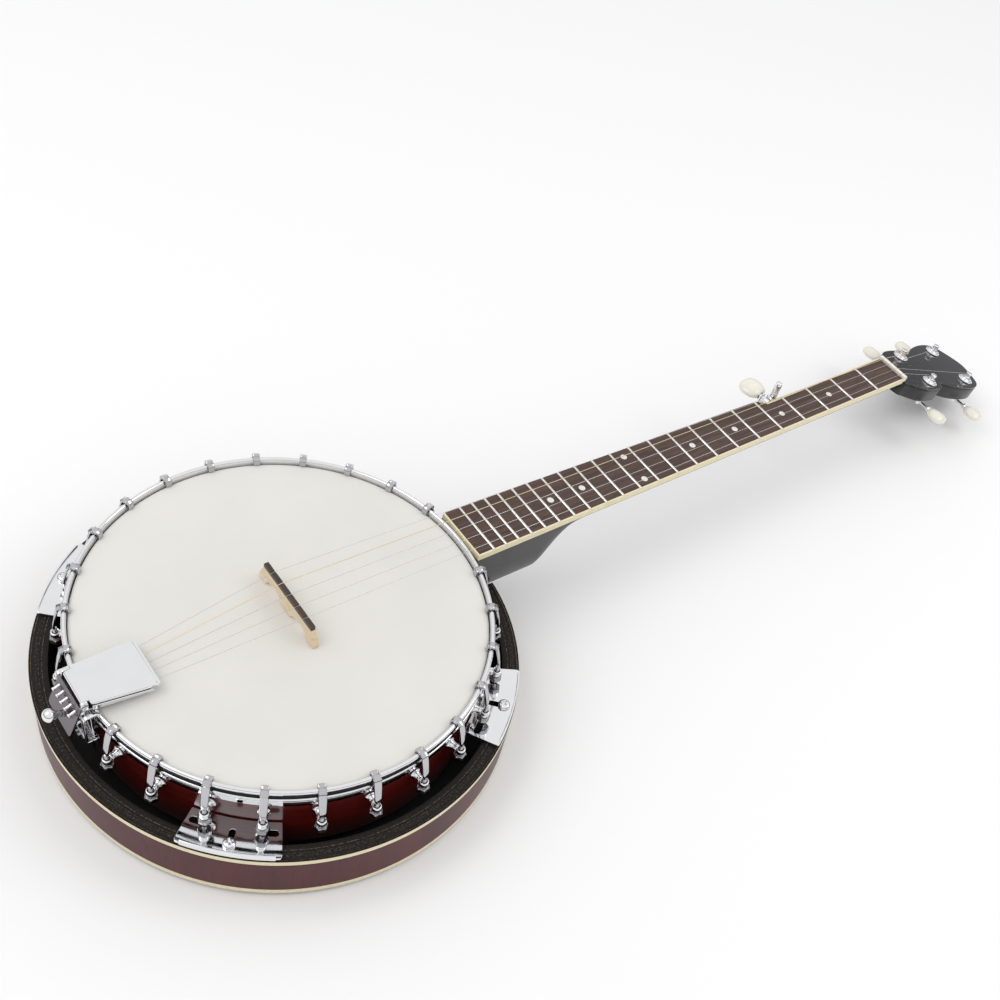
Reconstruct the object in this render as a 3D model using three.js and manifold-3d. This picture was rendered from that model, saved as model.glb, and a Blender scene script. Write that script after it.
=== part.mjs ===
// Five-string resonator banjo.  Millimetres, +Z up out of the drum head, +X along the neck
// towards the headstock, +Y the bass side where the fifth string's tuner sits.  The origin is
// the centre of the flat face in the middle of the resonator's back, on which it rests.
import * as THREE from 'three';
import * as BufferGeometryUtils from 'three/addons/utils/BufferGeometryUtils.js';
import Module from 'manifold-3d';

const wasm = await Module();
wasm.setup();

// ---- driving dimensions ---------------------------------------------------------------
const GAP = 0.3;                  // clearance between pieces that touch on the real banjo
const roundSides = 48;            // flats round the large turned pieces

const headRadius = 139.3;         // 11 in drum head over its rim
const headAboveResonator = 38.3;  // playing surface above the resonator's top edge
const rimWall = 19;               // wooden rim, thickness
const rimAboveBack = 12.3;        // rim's foot above the edge of the resonator's back
const toneRingDepth = 14.4;
const toneRingLip = 2;            // how far the tone ring's foot stands out past the head
const hoopWall = 3.2;             // tension hoop, thickness
const hoopAbove = 4;              // tension hoop's top above the head
const hoopBelow = 6.4;            // tension hoop's bottom below the head

const resonatorMargin = 28;       // resonator's outside beyond the head's edge
const resonatorWall = 12;         // laminated side wall, thickness
const resonatorHeight = 46.7;     // top of the side wall above the resting face
const backThickness = 5;
const backFlatMargin = 39.3;      // arched rim of the back, round its flat middle
const backCrown = 3.7;            // rise of the back's edge above the flat middle
const bindingThickness = 1.6;
const bindingHeight = 4.5;

const hooksPerSide = 12;          // from the neck round to the tailpiece
const hookStandOff = 9.7;         // threaded hook shanks outside the head's edge
const shankRadius = 1.6;
const shoeShare = 0.575;          // shoe's middle, as a share of the way from head to resonator

const plateThickness = 1.6;       // flange plates between pot and resonator
const plateHalfAngle = 11.7;      // degrees

const scaleLength = 666.75;       // 26 1/4 in
const fretCount = 22;
const neckTilt = 1.98;            // degrees that the neck leans back
const boardStandOff = 4.5;        // body end of the fingerboard outside the head's edge
const boardAboveHead = 5.15;      // fingerboard's top above the head at its body end
const boardPastFrets = 14.1;      // fingerboard beyond its last fret, towards the pot
const boardThickness = 5;
const boardHalfAtNut = 16.6;      // half width at the nut, binding included
const boardHalfAtEnd = 23.4;      // half width at the body end, binding included
const narrowHalfAtNut = 16.1;     // bass half width at the nut, beyond the fifth peg
const narrowHalfAtFifth = 13;     // bass half width beside the fifth fret
const boardBinding = 1.4;
const neckDepth = 16;             // wood under the fingerboard at the nut
const heelInset = 10;             // heel's foot below the resonator's top edge
const heelLength = 63;            // flat foot of the heel, from the fingerboard's body end
const nutThickness = 5;
const nutHeight = 2.4;            // above the fingerboard

const headstockTilt = 13.85;      // degrees, headstock against neck
const headstockThickness = 14.3;  // veneer included
const veneer = 1.5;
const headstockDrop = 5.4;        // headstock face below the fingerboard face at the nut
const tunerRows = [
  { u: 42.6, v: 19.5, reach: 28.5 },
  { u: 110.1, v: 22.5, reach: 29.5 },
];
const postRadius = 3;
const postAbove = 8.5;            // post's top above the headstock face
const gearRadius = 4.6;
const wormRadius = 1.4;

const bridgeX = 2;                // bridge's middle, from the pot's centre
const bridgeHeight = 17;
const bridgeSpan = 72;            // foot to foot
const stringGauges = [0.254, 0.305, 0.406, 0.584, 0.254];
const bridgeSpacing = 10.9;
const nutSpacing = 7.75;
const nutStringHeight = 1.7;      // string centres above the fingerboard at the nut
const tailStandOff = 8.7;         // tailpiece cover's rear edge outside the head's edge
const tailLength = 47;
const tailHalfRear = 16;
const tailHalfFront = 20;
const tailLean = 22;              // degrees, end plate's foot leaning out
const tailEndPlate = 29.5;        // end plate, from the line of the cover down to its foot
const tailSpacing = 5.6;

// ---- materials ------------------------------------------------------------------------
function material(colour, roughness, metalness) {
  return new THREE.MeshStandardMaterial({ color: colour, roughness, metalness });
}
const chrome = () => material(0xd9dbde, 0.12, 1);
const nickel = () => material(0xcfc9bd, 0.28, 1);
const brassy = () => material(0xb08a4a, 0.3, 1);
const mahogany = () => material(0x3d0a08, 0.22, 0);
const maroon = () => material(0x5a2f33, 0.2, 0);
const ivory = () => material(0xf1e3bd, 0.4, 0);
const blackLacquer = () => material(0x17171a, 0.15, 0);
const rosewood = () => material(0x5a463f, 0.55, 0);
const maple = () => material(0xe6cf9f, 0.45, 0);
const ebony = () => material(0x1a1716, 0.4, 0);
const skin = () => material(0xe5e2dc, 0.6, 0);
const pearl = () => material(0xf0ebd9, 0.35, 0);

// ---- shape helpers --------------------------------------------------------------------
function bare(geometry) {
  const flat = geometry.clone();
  for (const name of Object.keys(flat.attributes)) {
    if (name !== 'position') flat.deleteAttribute(name);
  }
  return BufferGeometryUtils.mergeVertices(flat, 1e-4);
}

// Turns a mesh the right way out when its signed volume is negative.
function facingOut(geometry) {
  const mesh = bare(geometry);
  const p = mesh.attributes.position;
  const index = Array.from(mesh.index.array);
  const [a, b, c] = [new THREE.Vector3(), new THREE.Vector3(), new THREE.Vector3()];
  let volume = 0;
  for (let i = 0; i < index.length; i += 3) {
    a.fromBufferAttribute(p, index[i]);
    b.fromBufferAttribute(p, index[i + 1]);
    c.fromBufferAttribute(p, index[i + 2]);
    volume += a.dot(b.cross(c));
  }
  if (volume < 0) {
    for (let i = 0; i < index.length; i += 3) {
      [index[i], index[i + 1]] = [index[i + 1], index[i]];
    }
  }
  mesh.setIndex(index);
  return mesh;
}

function toSolid(geometry) {
  const mesh = facingOut(geometry);
  return new wasm.Manifold(new wasm.Mesh({
    numProp: 3,
    vertProperties: new Float32Array(mesh.attributes.position.array),
    triVerts: new Uint32Array(mesh.index.array),
  }));
}

function toGeometry(solid) {
  const mesh = solid.getMesh();
  const geometry = new THREE.BufferGeometry();
  geometry.setAttribute('position', new THREE.BufferAttribute(new Float32Array(mesh.vertProperties), 3));
  geometry.setIndex(Array.from(mesh.triVerts));
  return geometry;
}

function join(...geometries) {
  return toGeometry(geometries.map(toSolid).reduce((whole, piece) => whole.add(piece)));
}

function cut(geometry, ...tools) {
  return toGeometry(tools.map(toSolid).reduce((whole, tool) => whole.subtract(tool), toSolid(geometry)));
}

function box(x0, x1, y0, y1, z0, z1) {
  const geometry = new THREE.BoxGeometry(x1 - x0, y1 - y0, z1 - z0);
  return geometry.translate((x0 + x1) / 2, (y0 + y1) / 2, (z0 + z1) / 2);
}

// A body of revolution about Z from [radius, height] pairs; a closed profile gives a ring.
function turned(profile, sides = roundSides) {
  const points = profile.map(([r, z]) => new THREE.Vector2(r, z));
  return facingOut(new THREE.LatheGeometry(points, sides).rotateX(Math.PI / 2));
}

function ring(inner, outer, bottom, top) {
  return turned([[inner, bottom], [outer, bottom], [outer, top], [inner, top], [inner, bottom]]);
}

// A body of revolution whose axis runs from one point towards another; heights are along it.
function turnedAlong(from, to, profile, sides = 16) {
  const start = new THREE.Vector3(...from);
  const direction = new THREE.Vector3(...to).sub(start).normalize();
  const turn = new THREE.Quaternion().setFromUnitVectors(new THREE.Vector3(0, 0, 1), direction);
  return turned(profile, sides).applyQuaternion(turn).translate(start.x, start.y, start.z);
}

function rod(from, to, radius, sides = 12) {
  const length = new THREE.Vector3(...from).distanceTo(new THREE.Vector3(...to));
  return turnedAlong(from, to, [[0, 0], [radius, 0], [radius, length], [0, length]], sides);
}

function slab(shape, bottom, top, curveSegments = 12) {
  const options = { depth: top - bottom, bevelEnabled: false, curveSegments };
  return new THREE.ExtrudeGeometry(shape, options).translate(0, 0, bottom);
}

function outline(points) {
  return new THREE.Shape(points.map(([x, y]) => new THREE.Vector2(x, y)));
}

// A flat outline drawn in the X-Z plane, extruded across Y.
function slabAcross(points, y0, y1) {
  return slab(outline(points), -y1, -y0).rotateX(Math.PI / 2);
}

// Joins equal rings of points into one closed skin, with a flat fan over each end.
function loft(sections) {
  const count = sections[0].length;
  const positions = sections.flat().flatMap((point) => [point.x, point.y, point.z]);
  const index = [];
  for (let s = 0; s + 1 < sections.length; s += 1) {
    for (let i = 0; i < count; i += 1) {
      const a = s * count + i;
      const b = s * count + ((i + 1) % count);
      index.push(a, b, b + count, a, b + count, a + count);
    }
  }
  const last = (sections.length - 1) * count;
  for (let i = 1; i + 1 < count; i += 1) {
    index.push(0, i + 1, i, last, last + i, last + i + 1);
  }
  const geometry = new THREE.BufferGeometry();
  geometry.setAttribute('position', new THREE.Float32BufferAttribute(positions, 3));
  geometry.setIndex(index);
  return facingOut(geometry);
}

// A wire through a list of points, mitred where it bends.
function wire(points, radius, sides = 6) {
  const path = points.map((point) => new THREE.Vector3(...point));
  const sections = path.map((point, i) => {
    const before = point.clone().sub(path[Math.max(i - 1, 0)]).normalize();
    const after = path[Math.min(i + 1, path.length - 1)].clone().sub(point).normalize();
    const along = before.add(after).normalize();
    const across = new THREE.Vector3(0, 1, 0).cross(along).normalize();
    const side = along.clone().cross(across);
    return Array.from({ length: sides }, (_, k) => {
      const angle = (2 * Math.PI * k) / sides;
      const offset = across.clone().multiplyScalar(radius * Math.cos(angle));
      return point.clone().add(offset).addScaledVector(side, radius * Math.sin(angle));
    });
  });
  return loft(sections);
}

function aroundZ(geometry, degrees) {
  return geometry.rotateZ(THREE.MathUtils.degToRad(degrees));
}

function add(group, name, geometry, surface) {
  const mesh = new THREE.Mesh(geometry, surface);
  mesh.name = name;
  group.add(mesh);
}

const group = new THREE.Group();

// ---- resonator ------------------------------------------------------------------------
const resonatorRadius = headRadius + resonatorMargin;
const headZ = resonatorHeight + headAboveResonator;
const wallInner = resonatorRadius - resonatorWall;
const backFlatRadius = resonatorRadius - backFlatMargin;
const backRadius = resonatorRadius - bindingThickness - GAP;
const backEdgeTop = backCrown + backThickness;
const wallBottom = backEdgeTop + GAP;
const bindingInner = resonatorRadius - bindingThickness;
const lowBindingTop = backCrown + bindingHeight;
const highBindingBottom = resonatorHeight - bindingHeight;
const neckHalfAtPot = boardHalfAtEnd + GAP;
const heelBottom = resonatorHeight - heelInset;

const back = turned([
  [0, 0],
  [backFlatRadius, 0],
  [backRadius, backCrown],
  [backRadius, backEdgeTop],
  [backFlatRadius, backThickness],
  [0, backThickness],
]);
add(group, 'resonator_back', back, maroon());

const neckNotch = box(wallInner - 10, resonatorRadius + 10, -neckHalfAtPot - 1, neckHalfAtPot + 1,
  heelBottom - 1, resonatorHeight + 1);
const hookStep = 180 / (hooksPerSide + 1);
const plateFromSide = 3 * hookStep;   // middle of each plate, from the pot's widest line
const platePlaces = [90 - plateFromSide, 90 + plateFromSide, 270 - plateFromSide, 270 + plateFromSide];
const screwCircle = (wallInner + bindingInner) / 2 - 1;
const screwShaft = 1.8;
const screwDepth = 14;
const screwHoles = platePlaces.map((angle) => aroundZ(
  rod([screwCircle, 0, resonatorHeight + 1], [screwCircle, 0, resonatorHeight - screwDepth],
    screwShaft + GAP, 10),
  angle,
));
const wall = turned([
  [wallInner, wallBottom],
  [backRadius + GAP, wallBottom],
  [backRadius + GAP, lowBindingTop + GAP],
  [resonatorRadius, lowBindingTop + GAP],
  [resonatorRadius, highBindingBottom - GAP],
  [bindingInner - GAP, highBindingBottom - GAP],
  [bindingInner - GAP, resonatorHeight],
  [wallInner, resonatorHeight],
  [wallInner, wallBottom],
]);
add(group, 'resonator_wall', cut(wall, neckNotch, ...screwHoles), maroon());
add(group, 'binding_lower', ring(bindingInner, resonatorRadius, backCrown, lowBindingTop), ivory());
const upperBinding = ring(bindingInner, resonatorRadius, highBindingBottom, resonatorHeight);
add(group, 'binding_upper', cut(upperBinding, neckNotch), ivory());

// ---- pot: rim, tone ring, head and tension hoop ---------------------------------------
const rimTop = headZ - toneRingDepth - 2 * GAP;
const rimBottom = backEdgeTop + rimAboveBack;
const rimInner = headRadius - rimWall;
const headThickness = 0.6;
const skirtThickness = 1.7;
const skirtDepth = 6;
const toneRingOuter = headRadius - skirtThickness - GAP;
const toneRingFoot = headRadius + toneRingLip;
const hoopInner = headRadius + GAP + 0.1;
const hoopOuter = hoopInner + hoopWall;
const rodZ = resonatorHeight + GAP;   // coordinator rod, neck bolt and tailpiece bolt
const boltRadius = 3;

const boltHole = rod([-headRadius - 5, 0, rodZ], [headRadius + 5, 0, rodZ], boltRadius + GAP);
add(group, 'rim', cut(ring(rimInner, headRadius, rimBottom, rimTop), boltHole), mahogany());

const footHeight = 6;
const footBottom = rimTop + GAP;
add(group, 'tone_ring', turned([
  [rimInner + 6, footBottom],
  [toneRingFoot, footBottom],
  [toneRingFoot, footBottom + footHeight],
  [toneRingOuter, footBottom + footHeight],
  [toneRingOuter, headZ - headThickness - GAP],
  [toneRingOuter - 3, headZ - headThickness - GAP],
  [rimInner + 6, footBottom + footHeight],
  [rimInner + 6, footBottom],
]), nickel());

add(group, 'head', turned([
  [0, headZ - headThickness],
  [headRadius - skirtThickness, headZ - headThickness],
  [headRadius - skirtThickness, headZ - skirtDepth],
  [headRadius, headZ - skirtDepth],
  [headRadius, headZ],
  [0, headZ],
]), skin());

add(group, 'tension_hoop', turned([
  [hoopInner, headZ - hoopBelow],
  [hoopOuter, headZ - hoopBelow],
  [hoopOuter, headZ + hoopAbove - 0.6],
  [hoopOuter - 0.6, headZ + hoopAbove],
  [hoopInner, headZ + hoopAbove],
  [hoopInner, headZ - hoopBelow],
]), chrome());

// ---- bracket hooks with their nuts, and the shoes on the rim --------------------------
// The claws pass over the hoop.  A thin hidden wire under the hoop joins the set of hooks,
// and a thin band joins the set of shoes, so that each set is one body.
const sidePlaces = Array.from({ length: hooksPerSide }, (_, i) => (i + 1) * hookStep);
const hookAngles = [...sidePlaces, ...sidePlaces.map((angle) => angle + 180)];
const hookRadius = headRadius + hookStandOff;
const clawThickness = 1.8;
const clawUnder = headZ + hoopAbove + GAP;
const clawTop = clawUnder + clawThickness;
const hoopFlatInner = hoopInner * Math.cos(Math.PI / roundSides);
const tipThickness = 1.1;
const clawTip = hoopFlatInner - GAP - tipThickness;
const clawHalf = 2.4;
const barHalf = 1.2;
const shoeZ = headZ - shoeShare * headAboveResonator;
const shoeHalf = 4;
const lipHeight = 2.2;            // raised outer lip of the flange plates
const shankEnd = resonatorHeight + 2 * GAP + plateThickness + lipHeight;
const nutCornerRadius = 4.6;
const hookNutTop = shoeZ - shoeHalf - GAP;
const hookNutHeight = 4.5;

function hook() {
  const claw = slabAcross([
    [clawTip, headZ + 0.8],
    [clawTip + tipThickness, headZ + 0.8],
    [clawTip + tipThickness, clawUnder],
    [hoopOuter + 3 * GAP, clawUnder],
    [hookRadius - barHalf, headZ - 6],
    [hookRadius - barHalf, hookNutTop - 1],
    [hookRadius + barHalf, hookNutTop - 1],
    [hookRadius + barHalf, headZ - 2],
    [hookRadius - 3.6, clawTop],
    [clawTip, clawTop],
  ], -clawHalf, clawHalf);
  const nutBottomUp = hookNutTop - hookNutHeight - shankEnd;
  const shankAndNut = turnedAlong([hookRadius, 0, shankEnd], [hookRadius, 0, headZ], [
    [0, 0],
    [shankRadius, 0],
    [shankRadius, nutBottomUp],
    [nutCornerRadius, nutBottomUp],
    [nutCornerRadius, nutBottomUp + hookNutHeight],
    [0, nutBottomUp + hookNutHeight],
  ], 6);
  return [claw, shankAndNut];
}
const hookWireZ = headZ - hoopBelow - GAP - 0.8;
const neckGate = box(100, 180, -neckHalfAtPot - 1, neckHalfAtPot + 1, 0, 200);
const hookWire = cut(ring(hoopOuter - 0.4, hookRadius - 0.6, hookWireZ, hookWireZ + 0.8), neckGate);
const hooks = hookAngles.flatMap((angle) => hook().map((piece) => aroundZ(piece, angle)));
add(group, 'bracket_hooks', join(hookWire, ...hooks), chrome());

const shoeInner = headRadius + GAP + 0.1;
const shoeOuter = hookRadius + shankRadius + 2.6;
const shoes = hookAngles.map((angle) => {
  const shape = outline([
    [shoeInner, -shoeHalf],
    [shoeOuter, -shoeHalf],
    [shoeOuter, shoeHalf],
    [shoeInner, shoeHalf],
  ]);
  const holeIn = hookRadius - barHalf - GAP;
  const holeOut = hookRadius + barHalf + GAP;
  const holeHalf = clawHalf + GAP;
  shape.holes.push(outline([
    [holeIn, -holeHalf],
    [holeIn, holeHalf],
    [holeOut, holeHalf],
    [holeOut, -holeHalf],
  ]));
  return aroundZ(slab(shape, shoeZ - shoeHalf, shoeZ + 1), angle);
});
const shoeBand = cut(ring(shoeInner, shoeInner + 0.8, shoeZ - 2.5, shoeZ - 1), neckGate);
add(group, 'bracket_shoes', join(shoeBand, ...shoes), chrome());

// ---- flange plates and their screws ---------------------------------------------------
const plateBottom = resonatorHeight + GAP;
const plateTop = plateBottom + plateThickness;
const plateInner = headRadius + GAP + 0.1;
const plateOuter = bindingInner - 0.2;
const lipWall = 1.3;
const tabDrop = 9;

function sector(inner, outer, halfAngle) {
  const half = THREE.MathUtils.degToRad(halfAngle);
  const shape = new THREE.Shape();
  shape.absarc(0, 0, outer, -half, half, false);
  shape.absarc(0, 0, inner, half, -half, true);
  return shape;
}

function slotTool(x0, x1, halfWidth, degrees) {
  const slot = join(
    box(x0, x1, -halfWidth, halfWidth, plateBottom - 1, plateTop + 1),
    rod([x0, 0, plateBottom - 1], [x0, 0, plateTop + 1], halfWidth, 8),
    rod([x1, 0, plateBottom - 1], [x1, 0, plateTop + 1], halfWidth + 0.1, 8),
  );
  return aroundZ(slot, degrees);
}

function flangePlate() {
  const flat = slab(sector(plateInner, plateOuter, plateHalfAngle), plateBottom, plateTop, 5);
  const lipShape = sector(plateOuter - lipWall, plateOuter, plateHalfAngle);
  const lip = slab(lipShape, plateBottom, plateTop + lipHeight, 5);
  const tabShape = sector(plateInner, plateInner + 1.4, plateHalfAngle - 2);
  const tab = slab(tabShape, plateBottom - tabDrop, plateTop, 5);
  const middle = slotTool(screwCircle - 9, screwCircle, screwShaft + GAP, 0);
  const sides = [-1, 1].map((side) => {
    const slot = slab(sector(hookRadius - 2.4, hookRadius + 2.4, 1.6), plateBottom - 1, plateTop + 1, 1);
    return aroundZ(slot, side * (hookStep / 2 + 1.9));
  });
  return cut(join(flat, lip, tab), middle, ...sides);
}

platePlaces.forEach((angle, i) => {
  add(group, `flange_plate_${i + 1}`, aroundZ(flangePlate(), angle), chrome());
  const screw = turnedAlong([screwCircle, 0, resonatorHeight - screwDepth + GAP], [screwCircle, 0, 99], [
    [0, 0],
    [screwShaft, 0.8],
    [screwShaft, screwDepth + plateThickness + GAP],
    [3.6, screwDepth + plateThickness + GAP],
    [3.6, screwDepth + plateThickness + GAP + 1.2],
    [2.2, screwDepth + plateThickness + GAP + 2.4],
    [0, screwDepth + plateThickness + GAP + 2.7],
  ], 10);
  add(group, `plate_screw_${i + 1}`, aroundZ(screw, angle), chrome());
});

// ---- neck frame -----------------------------------------------------------------------
// Inside this group x runs along the fingerboard from its body end and z = 0 is its face.
const boardStart = headRadius + boardStandOff;
const boardLength = scaleLength * (1 - 2 ** (-fretCount / 12)) + boardPastFrets;
const neckGroup = new THREE.Group();
neckGroup.position.set(boardStart, 0, headZ + boardAboveHead);
neckGroup.rotation.y = THREE.MathUtils.degToRad(neckTilt);
neckGroup.updateMatrixWorld(true);
group.add(neckGroup);
const toNeck = neckGroup.matrixWorld.clone().invert();

const fretX = (fret) => boardLength - scaleLength * (1 - 2 ** (-fret / 12));
const shoulderStart = fretX(5) + 2;
const shoulderEnd = shoulderStart + 9;
const along = (x, atNut, atEnd) => atNut + ((atEnd - atNut) * (boardLength - x)) / boardLength;
const trebleHalf = (x) => along(x, boardHalfAtNut, boardHalfAtEnd);
function narrowHalf(x) {
  const share = (boardLength - x) / (boardLength - fretX(5));
  return narrowHalfAtNut + (narrowHalfAtFifth - narrowHalfAtNut) * share;
}
function bassHalf(x) {
  const t = THREE.MathUtils.smoothstep(x, shoulderStart, shoulderEnd);
  return trebleHalf(x) * (1 - t) + narrowHalf(x) * t;
}

const shoulderShares = [0, 0.25, 0.5, 0.75, 1];
const shoulderSteps = shoulderShares.map((t) => shoulderEnd + (shoulderStart - shoulderEnd) * t);
function boardOutline(inset, bassInset, start, end) {
  const bass = [end, ...shoulderSteps, start].map((x) => [x, bassHalf(x) - bassInset(x)]);
  return outline([[start, -trebleHalf(start) + inset], [end, -trebleHalf(end) + inset], ...bass]);
}
const onNarrowOnly = (x) => (x >= shoulderEnd ? boardBinding : 0);

// Fingerboard: a groove below for the frets' joining spine, and a hole over it at each fret.
const spineHalf = 0.8;
const spineTop = -boardThickness + 1.6;
const fretNumbers = Array.from({ length: fretCount }, (_, i) => i + 1);
const boardFrom = boardBinding + GAP;
const boardTo = boardLength - GAP;
const boardBody = slab(
  boardOutline(boardBinding + GAP, (x) => (onNarrowOnly(x) ? boardBinding + GAP : 0), boardFrom, boardTo),
  -boardThickness,
  0,
);
const fretSlots = fretNumbers.map((fret) => {
  const x = fretX(fret);
  return box(x - 0.6, x + 0.6, -spineHalf - GAP, spineHalf + GAP, spineTop, 1);
});
const spineGroove = box(5, boardLength - 20, -spineHalf - GAP, spineHalf + GAP, -boardThickness - 1,
  spineTop + GAP);
add(neckGroup, 'fingerboard', cut(boardBody, spineGroove, ...fretSlots), rosewood());

// Binding: along the treble side, across the body end, and up the narrow bass side, with a
// return under the nut that keeps it one strip.
const bindingShape = slab(boardOutline(0, () => 0, 0, boardLength + 1.2), -boardThickness, 0);
const bindingVoid = slab(
  boardOutline(boardBinding, (x) => (onNarrowOnly(x) ? boardBinding : -3), boardBinding, boardLength),
  -boardThickness - 1,
  1,
);
const underNut = box(boardLength - GAP, boardLength + 3, -40, 40, -boardThickness + 1, 3);
add(neckGroup, 'fingerboard_binding', cut(bindingShape, bindingVoid, underNut), ivory());

// Frets: crowns joined by a spine hidden inside the fingerboard.
const crownHeight = 1;
const crowns = fretNumbers.flatMap((fret) => {
  const x = fretX(fret);
  const bassEnd = bassHalf(x) - (onNarrowOnly(x) ? boardBinding : 0.4);
  const crown = slabAcross([
    [x - 1.15, 0.25],
    [x + 1.15, 0.25],
    [x + 0.6, crownHeight + 0.25],
    [x - 0.6, crownHeight + 0.25],
  ], -trebleHalf(x) + boardBinding, bassEnd);
  const leg = box(x - 0.3, x + 0.3, -spineHalf + 0.1, spineHalf - 0.1, -boardThickness + 0.6, 0.5);
  return [crown, leg];
});
const spine = box(fretX(fretCount) - 1, fretX(1) + 1, -spineHalf, spineHalf, -boardThickness + GAP,
  spineTop - GAP);
add(neckGroup, 'frets', join(spine, ...crowns), nickel());

// Nut with four string notches, and the small pip under the fifth string.
const nutBottom = -boardThickness + 1 + GAP;
const stringsAtNut = [-1.5, -0.5, 0.5, 1.5].map((step) => step * nutSpacing + 0.4);
const nutBlock = box(boardLength + GAP, boardLength + nutThickness, -boardHalfAtNut, narrowHalfAtNut,
  nutBottom, nutHeight);
const notches = stringsAtNut.map((y) => box(boardLength - 1, boardLength + nutThickness + 1, y - 0.7, y + 0.7,
  nutStringHeight - 0.75, nutHeight + 1));
add(neckGroup, 'nut', cut(nutBlock, ...notches), ivory());

const pipX = shoulderStart + 4;
const fifthAtPip = 16.1;
const pip = cut(
  turnedAlong([pipX, fifthAtPip, 0.3], [pipX, fifthAtPip, 9], [[0, 0], [1.7, 0], [1.4, 2.6], [0, 2.6]], 12),
  box(pipX - 3, pipX + 3, fifthAtPip - 0.5, fifthAtPip + 0.5, 1.7, 6),
);
add(neckGroup, 'fifth_string_pip', pip, ivory());

// ---- neck: shaft, heel and headstock in one piece of wood -----------------------------
const neckTop = -boardThickness - GAP;
const headstockGroup = new THREE.Group();
headstockGroup.position.set(boardLength + nutThickness + GAP, 0, -headstockDrop);
headstockGroup.rotation.y = THREE.MathUtils.degToRad(headstockTilt);
headstockGroup.updateMatrix();
neckGroup.add(headstockGroup);

const heelDepth = headZ + boardAboveHead - heelBottom + neckTop;
function depthAt(x) {
  const shaft = neckDepth + (2.5 * (boardLength - x)) / boardLength;
  const heel = 1 - THREE.MathUtils.smoothstep(x, heelLength - 2, heelLength + 26);
  return shaft + (heelDepth - shaft) * heel ** 1.5;
}
function neckSection(x) {
  const depth = depthAt(x);
  const heelShare = THREE.MathUtils.clamp((depth - 20) / (heelDepth - 20), 0, 1);
  const power = 1 - 0.45 * heelShare;
  const steps = 10;
  return Array.from({ length: steps + 1 }, (_, i) => {
    const angle = (Math.PI * i) / steps;
    const c = Math.cos(angle);
    const s = Math.sin(angle);
    const half = c > 0 ? trebleHalf(x) : bassHalf(x);
    const narrowing = 1 - 0.28 * heelShare * s;
    const y = -Math.sign(c) * half * Math.abs(c) ** power * narrowing;
    return new THREE.Vector3(x, y, neckTop - depth * s ** power);
  });
}
const neckStations = [
  -22, 20, heelLength - 2, heelLength + 1, heelLength + 4, heelLength + 8, heelLength + 12, heelLength + 17,
  heelLength + 22, heelLength + 26, heelLength + 60, 0.4 * boardLength, 0.56 * boardLength,
  ...[...shoulderSteps].reverse(), 0.77 * boardLength, 0.87 * boardLength, 0.95 * boardLength, boardLength,
  boardLength + nutThickness + 2,
];
const shaftAndHeel = loft(neckStations.map(neckSection));

const tipU = 138.5;
function headstockOutline() {
  const half = [
    [0, boardHalfAtNut - 0.6],
    [8, 19.4],
    [16, 25.4],
    [24, 29],
    [32, 30.2],
    [46, 29.9],
    [54.5, 29.2],
    [58.5, 23.6],
    [62, 22.4],
    [66, 24.6],
    [76, 29.6],
    [88, 32.9],
    [101, 34.8],
    [112, 34.8],
    [120, 33],
    [127, 28.6],
    [132, 19.5],
    [136.4, 9],
    [tipU, 0],
  ];
  const near = half.map(([u, v]) => [u, -v]);
  const far = half.slice(0, -1).reverse();
  return outline([...near, ...far]);
}
const woodTop = -veneer - GAP;
const block = slab(headstockOutline(), -headstockThickness, woodTop).applyMatrix4(headstockGroup.matrix);
const root = box(-14, 4, -boardHalfAtNut + 2, boardHalfAtNut - 2, -headstockThickness, woodTop)
  .applyMatrix4(headstockGroup.matrix);
const aboveVeneer = box(-4, 20, -60, 60, woodTop, 12).applyMatrix4(headstockGroup.matrix);
const aboveRoot = box(boardLength - 60, boardLength + nutThickness + GAP, -60, 60, neckTop, 30);
const potClearance = turned([
  [0, rimBottom - 20],
  [headRadius + GAP, rimBottom - 20],
  [headRadius + GAP, footBottom - 1],
  [toneRingFoot + GAP, footBottom - 1],
  [toneRingFoot + GAP, headZ - hoopBelow - 1.4],
  [hoopOuter + GAP + 0.2, headZ - hoopBelow - 1.4],
  [hoopOuter + GAP + 0.2, headZ + 30],
  [0, headZ + 30],
]).applyMatrix4(toNeck);
const trussRadius = 3;
const trussStart = 30;
const trussEnd = boardLength - 30;
const trussGroove = box(trussStart - 3, trussEnd + 3, -trussRadius - GAP, trussRadius + GAP,
  neckTop - 2 * trussRadius - 2 * GAP, neckTop + 2);
const lagStart = headRadius - rimWall - 9;
const lagEnd = boardStart + 34;
const lagHole = rod([headRadius - 5, 0, rodZ], [lagEnd + 1, 0, rodZ], boltRadius + GAP).applyMatrix4(toNeck);

const bushingRadius = 4.6;
const tunerPlaces = tunerRows.flatMap((row) => [
  { ...row, side: -1 },
  { ...row, side: 1 },
]);
const postHoles = tunerPlaces.map(({ u, v, side }) => rod(
  [u, side * v, -headstockThickness - 1],
  [u, side * v, 2],
  bushingRadius + GAP,
  12,
));
const fifthX = fretX(4) - 2;
const fifthY = narrowHalfAtFifth + 7;
const fifthZ = -boardThickness;
const fifthTangHole = box(fifthX - 13, fifthX - 3, 2, 40, fifthZ - 7 - GAP, fifthZ - 3 + GAP);

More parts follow.
